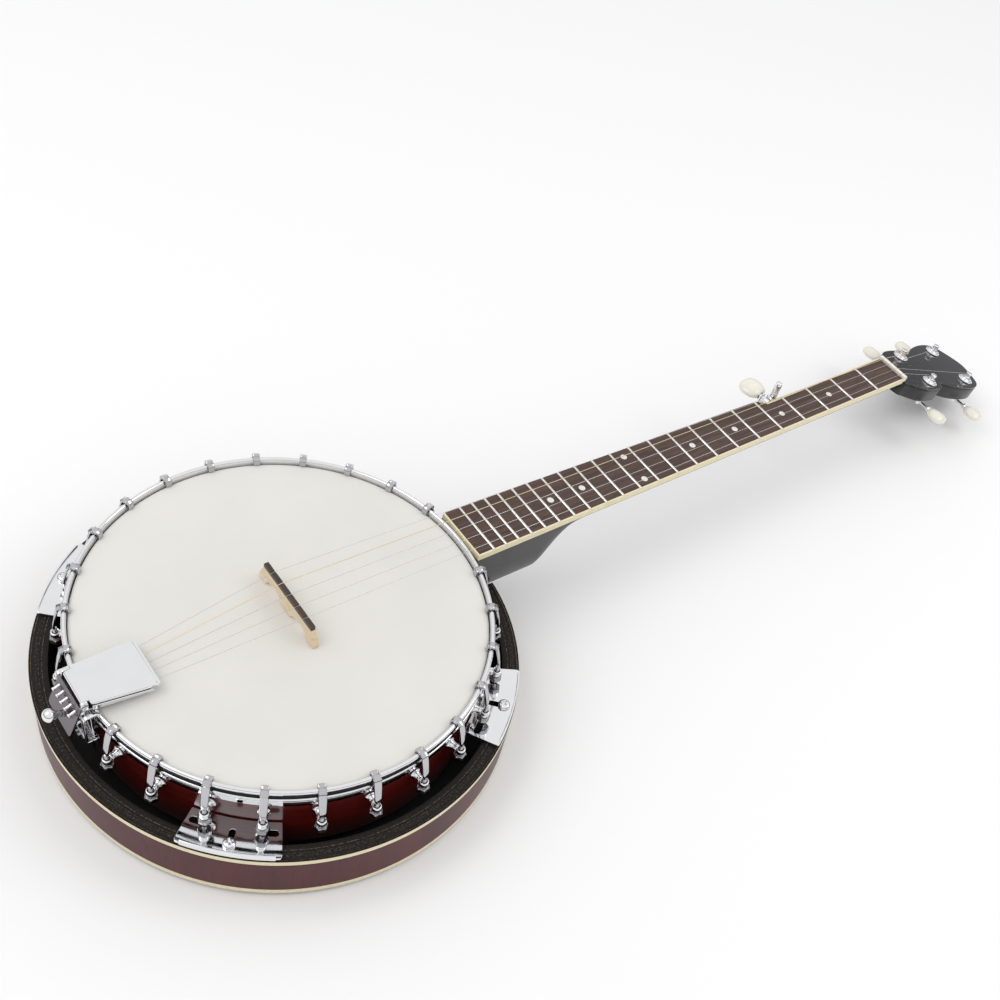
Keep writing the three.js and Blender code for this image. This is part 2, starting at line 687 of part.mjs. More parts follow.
const neckWood = cut(
  join(shaftAndHeel, block, root),
  aboveRoot,
  aboveVeneer,
  potClearance,
  trussGroove,
  lagHole,
  fifthTangHole,
  ...postHoles.map((hole) => hole.clone().applyMatrix4(headstockGroup.matrix)),
);
add(neckGroup, 'neck', neckWood, blackLacquer());
const veneerSheet = slab(headstockOutline(), -veneer, 0);
add(headstockGroup, 'headstock_veneer', cut(veneerSheet, ...postHoles), blackLacquer());
const trussZ = neckTop - trussRadius - GAP;
add(neckGroup, 'truss_rod', rod([trussStart, 0, trussZ], [trussEnd, 0, trussZ], trussRadius, 8), nickel());

// ---- rods and bolts through the pot ---------------------------------------------------
add(group, 'neck_bolt', join(
  rod([lagStart, 0, rodZ], [lagEnd, 0, rodZ], boltRadius, 12),
  rod([rimInner - 7, 0, rodZ], [rimInner - GAP - 0.4, 0, rodZ], 6, 6),
), nickel());
const rodRadius = 4.5;
const rodFrom = -rimInner + 8;
const rodTo = lagStart - GAP;
add(group, 'coordinator_rod', rod([rodFrom, 0, rodZ], [rodTo, 0, rodZ], rodRadius, 12), nickel());

// ---- tailpiece hanger -----------------------------------------------------------------
const tailX = -(headRadius + tailStandOff);
const hangerHalf = 21.5;
const armWidth = 3.6;
const armOver = headZ + hoopAbove + GAP;
const strap = 1.5;
const armX = tailX - 1.2;
const shelfZ = headZ - 19;
const webX = -(toneRingFoot + GAP + strap + 0.2);
const armPath = [
  [-hoopInner, armOver],
  [-hoopInner, armOver + strap],
  [armX - strap + 1.5, armOver + strap],
  [armX - strap, armOver],
  [armX - strap, shelfZ - strap],
  [webX, shelfZ - strap],
  [webX, shelfZ],
  [armX, shelfZ],
  [armX, armOver - 0.6],
  [armX + 1, armOver],
];
const arms = [-1, 1].map((side) => {
  const near = side > 0 ? hangerHalf - armWidth : -hangerHalf;
  return slabAcross(armPath, near, near + armWidth);
});
const web = box(webX - GAP, webX + strap, -12, 12, rodZ - 8, headZ - hoopBelow - 2.2);
const shelf = box(armX - strap, webX + 0.5, -hangerHalf, hangerHalf, shelfZ - strap, shelfZ);
const hangerHole = rod([webX - 9, 0, rodZ], [webX + 9, 0, rodZ], boltRadius + GAP);
add(group, 'tailpiece_hanger', cut(join(...arms, web, shelf), hangerHole), chrome());

const hangerBoltTail = webX - GAP - 0.3 - 4.2;
add(group, 'hanger_bolt', join(
  rod([hangerBoltTail - 1.8, 0, rodZ], [rodFrom - GAP, 0, rodZ], boltRadius, 12),
  rod([hangerBoltTail, 0, rodZ], [webX - GAP - 0.3, 0, rodZ], 5.4, 6),
  rod([-rimInner + GAP + 0.3, 0, rodZ], [-rimInner + 4.4, 0, rodZ], 5.4, 6),
), nickel());

// ---- tailpiece: body with leaning end plate, hinged cover and adjusting screw ---------
const tailFloorRear = headZ + hoopAbove + 1.2;
const tailFloorFront = headZ + 3.4;
const tailFrontX = tailX + tailLength;
const sheet = 1.2;
const coverZRear = headZ + 12;
const coverZFront = headZ + 7.8;
const coverRearTop = coverZRear + sheet;
const pinRadius = 0.8;
const knuckleRadius = 1.8;
const pinX = tailX + knuckleRadius;
const pinZ = coverRearTop - knuckleRadius;
const lugY = tailHalfRear - 2;
const lugReach = 2;               // lugs round the pin, beyond its middle

function tapered(rearX, frontX, halfRear, halfFront, zRear, zFront, thickness) {
  const corner = (x, y, z) => new THREE.Vector3(x, y, z);
  return loft([
    [corner(rearX, -halfRear, zRear), corner(rearX, halfRear, zRear),
      corner(rearX, halfRear, zRear + thickness), corner(rearX, -halfRear, zRear + thickness)],
    [corner(frontX, -halfFront, zFront), corner(frontX, halfFront, zFront),
      corner(frontX, halfFront, zFront + thickness), corner(frontX, -halfFront, zFront + thickness)],
  ]);
}

// The end plate's own frame: x = 0 is its outer face, z runs down it from the cover's line.
const onEndPlate = (geometry) => geometry
  .rotateY(THREE.MathUtils.degToRad(tailLean))
  .translate(tailX, 0, coverRearTop);
const tailY = (step) => step * tailSpacing;
const endPlateTop = 4.6;          // left free below the cover's line, for the knuckle to turn in
const screwDown = 24;
const endPlateHalf = tailHalfRear - 0.5;
const endPlate = onEndPlate(box(0, strap, -endPlateHalf, endPlateHalf, -tailEndPlate, -endPlateTop));
const hookPegs = [-2, -1, 0, 1, 2].map((step) => onEndPlate(rod(
  [0.8, tailY(step), -9.6],
  [-2.8, tailY(step), -13],
  0.9,
  6,
)));
const floorPlate = tapered(tailX - 2, tailFrontX - 3, tailHalfRear - 1, tailHalfFront - 1.5, tailFloorRear,
  tailFloorFront, strap);
const sideWalls = [-1, 1].map((side) => {
  const wallAt = (x, half, bottom, top) => [
    new THREE.Vector3(x, side * half, bottom),
    new THREE.Vector3(x, side * (half - 1.1), bottom),
    new THREE.Vector3(x, side * (half - 1.1), top),
    new THREE.Vector3(x, side * half, top),
  ];
  return loft([
    wallAt(tailX + 6, tailHalfRear - 1, tailFloorRear, tailFloorRear + 4.2),
    wallAt(tailFrontX - 3, tailHalfFront - 1.5, tailFloorFront, tailFloorFront + 2.6),
  ]);
});
const pinLugs = [-1, 1].map((side) => cut(
  box(tailX - 1.8, pinX + lugReach, side * lugY - 1, side * lugY + 1, tailFloorRear + 0.5, pinZ + lugReach),
  rod([pinX, -30, pinZ], [pinX, 30, pinZ], pinRadius + GAP, 10),
));
const screwHole = onEndPlate(rod([-5, 0, -screwDown], [5, 0, -screwDown], 1.8 + GAP));
const tailPlates = join(endPlate, floorPlate, ...sideWalls, ...pinLugs, ...hookPegs);
add(group, 'tailpiece_body', cut(tailPlates, screwHole), chrome());

const pinHalf = tailHalfRear - 0.6;
add(group, 'tailpiece_pin', rod([pinX, -pinHalf, pinZ], [pinX, pinHalf, pinZ], pinRadius, 10), nickel());

// The cover's knuckle turns on the pin between the lugs, and its rear corners are cut away
// to clear them.
const knuckleHalf = lugY - 1 - GAP;
const knuckle = join(
  rod([pinX, -knuckleHalf, pinZ], [pinX, knuckleHalf, pinZ], knuckleRadius, 12),
  box(pinX - 0.9, pinX + 0.9, -knuckleHalf, knuckleHalf, pinZ, coverZRear + 0.4),
);
const coverTop = tapered(tailX, tailFrontX, tailHalfRear, tailHalfFront - 0.6, coverZRear, coverZFront,
  sheet);
const coverLip = tapered(tailFrontX - 4, tailFrontX + 2, tailHalfFront - 0.6, tailHalfFront,
  coverZFront + 0.4, coverZFront - 0.9, sheet);
const pinBore = rod([pinX, -40, pinZ], [pinX, 40, pinZ], pinRadius + GAP, 10);
const coverCorners = [-1, 1].map((side) => {
  const [low, high] = [side * knuckleHalf, side * (tailHalfRear + 4)].sort((a, b) => a - b);
  return box(tailX - 2, pinX + lugReach * Math.SQRT2 + GAP, low, high, pinZ - 4, pinZ + 6);
});
add(group, 'tailpiece_cover', cut(join(coverTop, coverLip, knuckle), pinBore, ...coverCorners), chrome());

const ballRadius = 4.6;
const ballOut = 7.4;
const screwIn = 12;
add(group, 'tailpiece_screw', onEndPlate(join(
  rod([-ballOut, 0, -screwDown], [screwIn, 0, -screwDown], 1.8, 12),
  new THREE.SphereGeometry(ballRadius, 12, 8).translate(-ballOut, 0, -screwDown),
  rod([-ballOut + ballRadius - 1, 0, -screwDown], [-1, 0, -screwDown], 2.6, 12),
)), chrome());

// ---- bridge ---------------------------------------------------------------------------
const bridgeBase = headZ + GAP;
const capHeight = 3;
const capTop = headZ + bridgeHeight;
const capBottom = capTop - capHeight;
const bridgeHalf = bridgeSpan / 2;
const capHalf = bridgeHalf - 4.5;
const arch = bridgeHalf / 8;      // the arches between the feet are drawn in eighths
const bridgeShape = outline([
  [-bridgeHalf, bridgeBase],
  [-6 * arch, bridgeBase],
  [-5.5 * arch, bridgeBase + 4.5],
  [-4 * arch, bridgeBase + 7.5],
  [-2 * arch, bridgeBase + 5],
  [-1.2 * arch, bridgeBase],
  [1.2 * arch, bridgeBase],
  [2 * arch, bridgeBase + 5],
  [4 * arch, bridgeBase + 7.5],
  [5.5 * arch, bridgeBase + 4.5],
  [6 * arch, bridgeBase],
  [bridgeHalf, bridgeBase],
  [bridgeHalf, bridgeBase + 3],
  [capHalf, capBottom - GAP],
  [-capHalf, capBottom - GAP],
  [-bridgeHalf, bridgeBase + 3],
]);
const upright = (shape, thickness) => slab(shape, -thickness / 2, thickness / 2)
  .rotateX(Math.PI / 2)
  .rotateZ(Math.PI / 2)
  .translate(bridgeX, 0, 0);
add(group, 'bridge_body', upright(bridgeShape, 3.6), maple());
const stringsAtBridge = [-2, -1, 0, 1, 2].map((step) => step * bridgeSpacing);
const capShape = outline([
  [-capHalf, capBottom],
  [capHalf, capBottom],
  [capHalf - 0.8, capTop],
  [-capHalf + 0.8, capTop],
]);
const notchDepth = 0.8;
const capNotches = stringsAtBridge.map((y) => box(bridgeX - 5, bridgeX + 5, y - 0.65, y + 0.65,
  capTop - notchDepth, capTop + 2));
add(group, 'bridge_cap', cut(upright(capShape, 2.6), ...capNotches), ebony());

// ---- tuners on the headstock ----------------------------------------------------------
const backFace = -headstockThickness;
const tunerPlate = 1.2;
const gearTop = backFace - GAP - tunerPlate - GAP;
const gearBottom = gearTop - 3.4;
const wormZ = (gearTop + gearBottom) / 2;
const wormOffset = gearRadius + wormRadius + GAP;
const buttonShaft = 1.4;
tunerPlaces.forEach(({ u, v, reach, side }, i) => {
  const number = i + 1;
  const y = side * v;
  const wormU = u + side * wormOffset;
  const plateTopW = backFace - GAP;
  const plateBottomW = plateTopW - tunerPlate;
  const uMin = Math.min(u, wormU) - 7;
  const uMax = Math.max(u, wormU) + 7;
  const ears = [-1, 1].map((end) => box(wormU - 3, wormU + 3, y + end * 5.6 - 1, y + end * 5.6 + 1,
    wormZ - 3, plateTopW));
  const shaftTool = rod([wormU, y - 20, wormZ], [wormU, y + 20, wormZ], buttonShaft + GAP, 12);
  const postTool = rod([u, y, -40], [u, y, 5], postRadius + GAP, 14);
  add(headstockGroup, `tuner_housing_${number}`, cut(
    join(box(uMin, uMax, y - 7.4, y + 7.4, plateBottomW, plateTopW), ...ears),
    shaftTool,
    postTool,
  ), chrome());

  add(headstockGroup, `tuner_bushing_${number}`, turnedAlong([u, y, 0], [u, y, 9], [
    [postRadius + GAP, -10],
    [bushingRadius, -10],
    [bushingRadius, GAP],
    [6.8, GAP],
    [6.8, 1.4],
    [5.2, 3],
    [postRadius + GAP, 3],
    [postRadius + GAP, -10],
  ], 12), chrome());

  add(headstockGroup, `tuner_post_${number}`, turnedAlong([u, y, 0], [u, y, 9], [
    [0, gearBottom],
    [gearRadius, gearBottom],
    [gearRadius, gearTop],
    [postRadius, gearTop],
    [postRadius, 3.4],
    [postRadius - 0.7, 4.6],
    [postRadius - 0.7, 6],
    [postRadius, 7],
    [postRadius, postAbove],
    [0, postAbove],
  ], 10), chrome());

  const tip = y + side * reach;
  const paddle = new THREE.SphereGeometry(1, 10, 7).scale(7.6, 8.6, 4.2).translate(wormU, tip, wormZ);
  add(headstockGroup, `tuner_button_${number}`, join(
    rod([wormU, y - side * 7.4, wormZ], [wormU, tip, wormZ], buttonShaft, 8),
    rod([wormU, tip - side * 12.5, wormZ], [wormU, tip - side * 7, wormZ], 2.6, 8),
    paddle,
  ), pearl());
});

// ---- fifth-string tuner on the neck's bass side ---------------------------------------
const fifthPlateTop = fifthZ - 4;
const fifthPlateBottom = fifthPlateTop - 2;
const fifthGearRadius = 5.2;
const fifthWormRadius = 2.6;
const fifthWormX = fifthX - fifthGearRadius - fifthWormRadius - GAP;
const fifthGearBottom = fifthPlateTop + GAP;
const fifthGearTop = fifthGearBottom + 4;
const fifthWormZ = (fifthGearBottom + fifthGearTop) / 2 + 0.8;
const fifthInner = narrowHalf(fifthWormX) + 0.6;
const fifthOuter = fifthY + 6.5;
const fifthTang = box(fifthX - 12.6, fifthX - 3.4, 6, fifthInner + 1, fifthPlateBottom, fifthPlateTop);
const fifthPlate = box(fifthWormX - 4, fifthX + 6.5, fifthInner, fifthOuter, fifthPlateBottom, fifthPlateTop);
const earWall = 1.8;
const fifthEars = [fifthInner, fifthOuter - earWall].map((y) => box(fifthWormX - 3.2, fifthWormX + 3.2,
  y, y + earWall, fifthPlateBottom, fifthWormZ + 3));
const fifthShaftHole = rod([fifthWormX, 0, fifthWormZ], [fifthWormX, 60, fifthWormZ], buttonShaft + GAP, 12);
const fifthPostHole = rod([fifthX, fifthY, -40], [fifthX, fifthY, 20], 2 + GAP, 12);
add(neckGroup, 'fifth_tuner_housing', cut(
  join(fifthTang, fifthPlate, ...fifthEars),
  fifthShaftHole,
  fifthPostHole,
), chrome());

const fifthPostTop = 13;
add(neckGroup, 'fifth_tuner_post', turnedAlong([fifthX, fifthY, 0], [fifthX, fifthY, 9], [
  [0, fifthPlateBottom - 1],
  [2, fifthPlateBottom - 1],
  [2, fifthGearBottom],
  [fifthGearRadius, fifthGearBottom],
  [fifthGearRadius, fifthGearTop],
  [3.2, fifthGearTop],
  [3.2, 1],
  [2.5, 2],
  [2.5, 4],
  [3.2, 5],
  [3.2, fifthPostTop - 4],
  [2.6, fifthPostTop - 1.4],
  [0, fifthPostTop],
], 10), chrome());

const fifthButtonY = fifthY + 18;
add(neckGroup, 'fifth_tuner_button', join(
  rod([fifthWormX, fifthInner - 0.4, fifthWormZ], [fifthWormX, fifthButtonY, fifthWormZ], buttonShaft, 8),
  rod([fifthWormX, fifthInner + 2.2, fifthWormZ], [fifthWormX, fifthOuter - 2.2, fifthWormZ],
    fifthWormRadius, 8),
  rod([fifthWormX, fifthOuter + GAP, fifthWormZ], [fifthWormX, fifthButtonY - 6, fifthWormZ], 3.6, 8),
  new THREE.SphereGeometry(1, 10, 8).scale(8.6, 8.8, 5).translate(fifthWormX, fifthButtonY, fifthWormZ),
), pearl());

// ---- strings --------------------------------------------------------------------------
// Each runs from the tailpiece under its cover, over the bridge and the nut to its post.
function fromNeck(x, y, z) {
  return new THREE.Vector3(x, y, z).applyMatrix4(neckGroup.matrixWorld).toArray();
}
function fromHeadstock(u, v, w) {
  const inNeck = new THREE.Vector3(u, v, w).applyMatrix4(headstockGroup.matrix);
  return inNeck.applyMatrix4(neckGroup.matrixWorld).toArray();
}
const windZ = 5.3;                // height of the windings on a post, above the headstock face
const stringPosts = [tunerPlaces[0], tunerPlaces[2], tunerPlaces[3], tunerPlaces[1]];
stringGauges.forEach((gauge, i) => {
  const radius = gauge / 2;
  const bridgeY = stringsAtBridge[i];
  const tail = [
    [tailX + 5, tailY(i - 2), headZ + 8.4],
    [tailFrontX + 1, tailY(i - 2) * 1.25, headZ + 5.9],
  ];
  const overBridge = [bridgeX, bridgeY, capTop - notchDepth + radius + 0.2];
  const clear = postRadius - 0.7 + radius + GAP;
  let far;
  if (i < 4) {
    const post = stringPosts[i];
    const y = stringsAtNut[i];
    const inside = post.side * post.v - post.side * clear;
    far = [
      fromNeck(boardLength, y, nutStringHeight),
      fromNeck(boardLength + nutThickness, y, nutStringHeight - 0.4),
      fromHeadstock(post.u + 1, inside, windZ),
    ];
  } else {
    far = [
      fromNeck(pipX, fifthAtPip, 2.2 + radius),
      fromNeck(fifthX + 0.5, fifthY - 2.5 - radius - GAP, 3),
    ];
  }
  const path = [...tail, overBridge, ...far];
  add(group, `string_${i + 1}`, wire(path, radius), i === 3 ? brassy() : nickel());
});

export default group;
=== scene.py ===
"""Five-string resonator banjo: the looks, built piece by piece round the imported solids, in metres."""

import math

import bpy
import numpy as np
from mathutils import Matrix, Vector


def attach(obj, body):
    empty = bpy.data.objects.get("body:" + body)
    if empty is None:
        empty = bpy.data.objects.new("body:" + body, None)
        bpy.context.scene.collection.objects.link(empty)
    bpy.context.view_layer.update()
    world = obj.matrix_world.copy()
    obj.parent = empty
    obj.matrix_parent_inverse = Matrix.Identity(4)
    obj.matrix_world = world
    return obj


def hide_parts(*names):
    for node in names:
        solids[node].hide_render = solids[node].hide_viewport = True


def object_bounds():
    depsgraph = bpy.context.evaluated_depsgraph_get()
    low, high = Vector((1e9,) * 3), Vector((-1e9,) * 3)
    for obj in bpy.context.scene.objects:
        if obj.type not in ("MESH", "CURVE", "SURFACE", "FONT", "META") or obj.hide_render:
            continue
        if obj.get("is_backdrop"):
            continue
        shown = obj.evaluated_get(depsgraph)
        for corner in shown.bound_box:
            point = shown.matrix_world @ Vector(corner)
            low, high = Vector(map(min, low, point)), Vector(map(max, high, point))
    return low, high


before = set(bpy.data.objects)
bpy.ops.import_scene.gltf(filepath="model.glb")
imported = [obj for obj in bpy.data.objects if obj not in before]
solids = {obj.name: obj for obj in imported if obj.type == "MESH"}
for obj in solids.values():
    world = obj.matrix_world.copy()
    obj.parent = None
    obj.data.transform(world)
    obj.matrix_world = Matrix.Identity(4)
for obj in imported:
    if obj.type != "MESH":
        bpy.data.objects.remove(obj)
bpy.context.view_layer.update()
MM = 0.001

# ---- the studio ------------------------------------------------------------------------
# A white sweep of card under a bright, even tent of cloth, with one large soft lamp above the
# tailpiece side and a weaker one over the neck.  The camera stands above the tailpiece.
camera = bpy.data.objects.new("camera", bpy.data.cameras.new("camera"))
bpy.context.scene.collection.objects.link(camera)
right = (0.7948, -0.5791, 0.1813)
upward = (0.3761, 0.7046, 0.6017)
backward = (-0.4762, -0.4100, 0.7779)
turn = Matrix((right, upward, backward)).transposed().to_quaternion().normalized().to_matrix()
camera.matrix_world = Matrix.Translation((-0.27356, -0.43866, 0.74215)) @ turn.to_4x4()
camera.data.sensor_width = 36
camera.data.lens = 43.83
camera.data.shift_x = -0.0167
camera.data.shift_y = 0.136
bpy.context.scene.camera = camera
bpy.context.scene.view_settings.view_transform = "Standard"


def new_material(name):
    """An empty node material: gives the material, its nodes, its links and its shader."""
    made = bpy.data.materials.new(name)
    made.use_nodes = True
    nodes = made.node_tree.nodes
    return made, nodes, made.node_tree.links, nodes["Principled BSDF"]


floor_mesh = bpy.data.meshes.new("floor")
floor_mesh.from_pydata([(-5, -5, 0), (5, -5, 0), (5, 5, 0), (-5, 5, 0)], [], [(0, 1, 2, 3)])
floor = bpy.data.objects.new("floor", floor_mesh)
bpy.context.scene.collection.objects.link(floor)
card, nodes, links, shader = new_material("white_card")
shader.inputs["Base Color"].default_value = (0.97, 0.97, 0.97, 1)
shader.inputs["Roughness"].default_value = 0.9
shader.inputs["Specular IOR Level"].default_value = 0.1
floor.data.materials.append(card)
floor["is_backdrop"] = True

tent = bpy.data.worlds.new("tent")
bpy.context.scene.world = tent
tent.use_nodes = True
nodes, links = tent.node_tree.nodes, tent.node_tree.links
direction = nodes.new("ShaderNodeTexCoord")
split = nodes.new("ShaderNodeSeparateXYZ")
bands = nodes.new("ShaderNodeValToRGB")
links.new(direction.outputs["Generated"], split.inputs[0])
links.new(split.outputs["Z"], bands.inputs[0])
links.new(bands.outputs[0], nodes["Background"].inputs["Color"])
bands.color_ramp.elements[0].position = 0.0
bands.color_ramp.elements[0].color = (0.50, 0.50, 0.52, 1)
bands.color_ramp.elements[1].position = 0.55
bands.color_ramp.elements[1].color = (1, 1, 1, 1)
for place, shade in ((0.10, 0.16), (0.22, 0.55), (0.30, 0.95)):
    bands.color_ramp.elements.new(place).color = (shade, shade, shade * 1.02, 1)
nodes["Background"].inputs["Strength"].default_value = 0.9


def softbox(name, place, target, size, watts):
    """A square lamp at a place, facing a target."""
    lamp = bpy.data.lights.new(name, "AREA")
    lamp.size = size
    lamp.energy = watts
    made = bpy.data.objects.new(name, lamp)
    away = Matrix.Translation(place).translation - Matrix.Translation(target).translation
    made.matrix_world = Matrix.Translation(place) @ away.to_track_quat("Z", "Y").to_matrix().to_4x4()
    bpy.context.scene.collection.objects.link(made)


softbox("large_softbox", (-0.9, 0.5, 1.7), (0, 0, 0.05), 1.1, 6.5)
softbox("neck_softbox", (1.2, -0.7, 1.3), (0.4, 0, 0.05), 0.7, 3)

# ---- resonator -------------------------------------------------------------------------
# A shallow wooden pan: an arched back glued to a laminated side wall, both veneered and
# sprayed deep maroon, blackened inside, with a strip of cream celluloid let into each edge.


def eased(corners, cut, steps=5, closed=True):
    """Each corner becomes a parabola that starts and ends `cut` away from it, less on short sides."""
    corner = np.asarray(corners, float)
    before = np.roll(corner, 1, 0) - corner
    after = np.roll(corner, -1, 0) - corner
    long_before = np.linalg.norm(before, axis=1, keepdims=True)
    long_after = np.linalg.norm(after, axis=1, keepdims=True)
    cut = np.reshape(np.broadcast_to(cut, len(corner)), (-1, 1))
    start = corner + before / long_before * np.minimum(cut, 0.48 * long_before)
    end = corner + after / long_after * np.minimum(cut, 0.48 * long_after)
    t = np.linspace(0, 1, steps)[None, :, None]
    bend = (1 - t) ** 2 * start[:, None] + 2 * t * (1 - t) * corner[:, None] + t**2 * end[:, None]
    if closed:
        return bend.reshape(-1, corner.shape[1])
    return np.concatenate([corner[:1], bend[1:-1].reshape(-1, corner.shape[1]), corner[-1:]])


def facing_out(points, faces):
    """The faces, all turned over if the volume under them (a . b x c, summed) comes out negative."""
    corner = np.array([face[:3] for face in faces] + [[f[0], f[2], f[3]] for f in faces if len(f) == 4])
    a, b, c = (points[corner[:, n]] for n in range(3))
    if np.einsum("ij,ij->i", a, np.cross(b, c)).sum() < 0:
        return [face[::-1] for face in faces]
    return faces


def skin(rows, joined=False):
    """Points and faces through equal closed rows.  Each row is joined to the next; the last goes on
    to the first if joined, and otherwise a fan from its middle closes each end row."""
    rows = np.asarray(rows, float)
    count, around = rows.shape[:2]
    i = np.arange(count if joined else count - 1)[:, None] * around
    k = np.arange(around)[None, :]
    size = count * around
    faces = np.stack([
        i + k,
        i + (k + 1) % around,
        (i + around + (k + 1) % around) % size,
        (i + around + k) % size,
    ], -1).reshape(-1, 4).tolist()
    points = rows.reshape(-1, 3)
    if not joined:
        points = np.concatenate([points, rows[:1].mean(1), rows[-1:].mean(1)])
        k = np.arange(around)
        after = (k + 1) % around
        last = size - around
        faces += np.stack([np.full(around, size), after, k], -1).tolist()
        faces += np.stack([np.full(around, size + 1), last + k, last + after], -1).tolist()
    return points, facing_out(points, faces)


def placed(part, matrix):
    """A part's points carried through a matrix."""
    points, faces = part
    matrix = np.array(matrix, float)
    return points @ matrix[:3, :3].T + matrix[:3, 3], faces


def piece(name, parts, material, body="banjo", replaces=(), sharp=35):
    """One object made of closed parts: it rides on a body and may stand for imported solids."""
    points, faces, so_far = [], [], 0
    for part_points, part_faces in parts:
        points.append(part_points)
        faces += [[corner + so_far for corner in face] for face in part_faces]
        so_far += len(part_points)
    mesh = bpy.data.meshes.new(name)
    mesh.from_pydata(np.concatenate(points).tolist(), [], faces)
    mesh.shade_smooth()
    mesh.set_sharp_from_angle(angle=math.radians(sharp))
    mesh.materials.append(material)
    made = bpy.data.objects.new(name, mesh)
    bpy.context.scene.collection.objects.link(made)
    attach(made, body)
    if replaces:
        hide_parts(*replaces)
    return made


def circle(sides):
    """Angles of a full turn."""
    return np.arange(sides) * (2 * math.pi / sides)


def turned(profile, sides=192):
    """A profile of [radius, height] carried round Z: (r cos a, r sin a, z)."""
    r, z = np.asarray(profile, float).T
    a = circle(sides)[None, :]
    r, z = r[:, None], z[:, None]
    return np.stack(np.broadcast_arrays(r * np.cos(a), r * np.sin(a), z), -1)


def swept_round(profile, start, end, sides=192):
    """A closed profile of [radius, height] carried round Z from one angle to another, in degrees."""
    r, z = np.asarray(profile, float).T
    a = np.radians(np.linspace(start, end, sides))[:, None]
    r, z = r[None, :], z[None, :]
    return np.stack(np.broadcast_arrays(r * np.cos(a), r * np.sin(a), z), -1)


def node_group(name, inputs, outputs):
    """An empty node group with named sockets: gives the group, its nodes, links, and ends."""
    made = bpy.data.node_groups.new(name, "ShaderNodeTree")
    kinds = {"value": "NodeSocketFloat", "colour": "NodeSocketColor", "vector": "NodeSocketVector"}
    for socket, kind in inputs:
        made.interface.new_socket(socket, in_out="INPUT", socket_type=kinds[kind])
    for socket, kind in outputs:
        made.interface.new_socket(socket, in_out="OUTPUT", socket_type=kinds[kind])
    entry = made.nodes.new("NodeGroupInput")
    leave = made.nodes.new("NodeGroupOutput")
    return made, made.nodes, made.links, entry, leave


def noise(nodes, scale, detail, rough=0.5):
    """A noise texture node with its detail set."""
    made = nodes.new("ShaderNodeTexNoise")
    made.inputs["Scale"].default_value = scale
    made.inputs["Detail"].default_value = detail
    made.inputs["Roughness"].default_value = rough
    return made


def between(nodes, links, factor, low, high):
    """A value socket mapped from 0..1 to low..high, where both may be sockets."""
    made = nodes.new("ShaderNodeMapRange")
    made.clamp = True
    links.new(factor, made.inputs["Value"])
    made.inputs["From Min"].default_value = 0.35
    made.inputs["From Max"].default_value = 0.65
    links.new(low, made.inputs["To Min"])
    links.new(high, made.inputs["To Max"])
    return made.outputs["Result"]


def blended(nodes, links, factor, first, second):
    """A colour between two colour sockets."""
    made = nodes.new("ShaderNodeMix")
    made.data_type = "RGBA"
    links.new(factor, made.inputs["Factor"])
    links.new(first, made.inputs["A"])
    links.new(second, made.inputs["B"])
    return made.outputs["Result"]


# Handled surface: cloudy finger haze changes colour and roughness a little, and fine pitting
# gives the height.
handled, nodes, links, entry, leave = node_group(
    "handled_surface",
    [("Clean", "colour"), ("Hazed", "colour"), ("Gloss", "value"), ("Dull", "value"), ("Size", "value")],
    [("Color", "colour"), ("Roughness", "value"), ("Height", "value")],
)
place = nodes.new("ShaderNodeTexCoord").outputs["Object"]
cloud = noise(nodes, 40, 3)
pits = noise(nodes, 900, 2)
scaled = nodes.new("ShaderNodeVectorMath")
scaled.operation = "SCALE"
links.new(place, scaled.inputs[0])
links.new(entry.outputs["Size"], scaled.inputs["Scale"])
links.new(scaled.outputs[0], cloud.inputs["Vector"])
links.new(scaled.outputs[0], pits.inputs["Vector"])
links.new(between(nodes, links, cloud.outputs[0], entry.outputs["Gloss"], entry.outputs["Dull"]),
          leave.inputs["Roughness"])
links.new(blended(nodes, links, cloud.outputs[0], entry.outputs["Clean"], entry.outputs["Hazed"]),
          leave.inputs["Color"])
links.new(pits.outputs[0], leave.inputs["Height"])

# Wood grain: long soft bands and finer pores, both stretched along one axis of the piece.
grain, nodes, links, entry, leave = node_group(
    "wood_grain",
    [("Stretch", "vector"), ("Light", "colour"), ("Dark", "colour"), ("Pore", "colour")],
    [("Color", "colour"), ("Height", "value")],
)
place = nodes.new("ShaderNodeTexCoord").outputs["Object"]
stretched = nodes.new("ShaderNodeVectorMath")
stretched.operation = "MULTIPLY"
links.new(place, stretched.inputs[0])
links.new(entry.outputs["Stretch"], stretched.inputs[1])
bands = noise(nodes, 1.0, 4, 0.6)
bands.inputs["Distortion"].default_value = 0.6
pores = noise(nodes, 7.0, 3, 0.7)
links.new(stretched.outputs[0], bands.inputs["Vector"])
links.new(stretched.outputs[0], pores.inputs["Vector"])
band_share = nodes.new("ShaderNodeMapRange")
links.new(bands.outputs[0], band_share.inputs["Value"])
band_share.inputs["From Min"].default_value = 0.32
band_share.inputs["From Max"].default_value = 0.68
pore_share = nodes.new("ShaderNodeMapRange")
links.new(pores.outputs[0], pore_share.inputs["Value"])
pore_share.inputs["From Min"].default_value = 0.56
pore_share.inputs["From Max"].default_value = 0.70
banded = blended(nodes, links, band_share.outputs[0], entry.outputs["Light"], entry.outputs["Dark"])
links.new(blended(nodes, links, pore_share.outputs[0], banded, entry.outputs["Pore"]), leave.inputs["Color"])
links.new(pore_share.outputs[0], leave.inputs["Height"])


def bumped(nodes, links, shader, height, distance, strength=1.0):
    """Feeds a height, in metres of relief, to a shader's normal."""
    bump = nodes.new("ShaderNodeBump")
    bump.inputs["Distance"].default_value = distance
    bump.inputs["Strength"].default_value = strength
    links.new(height, bump.inputs["Height"])
    links.new(bump.outputs["Normal"], shader.inputs["Normal"])


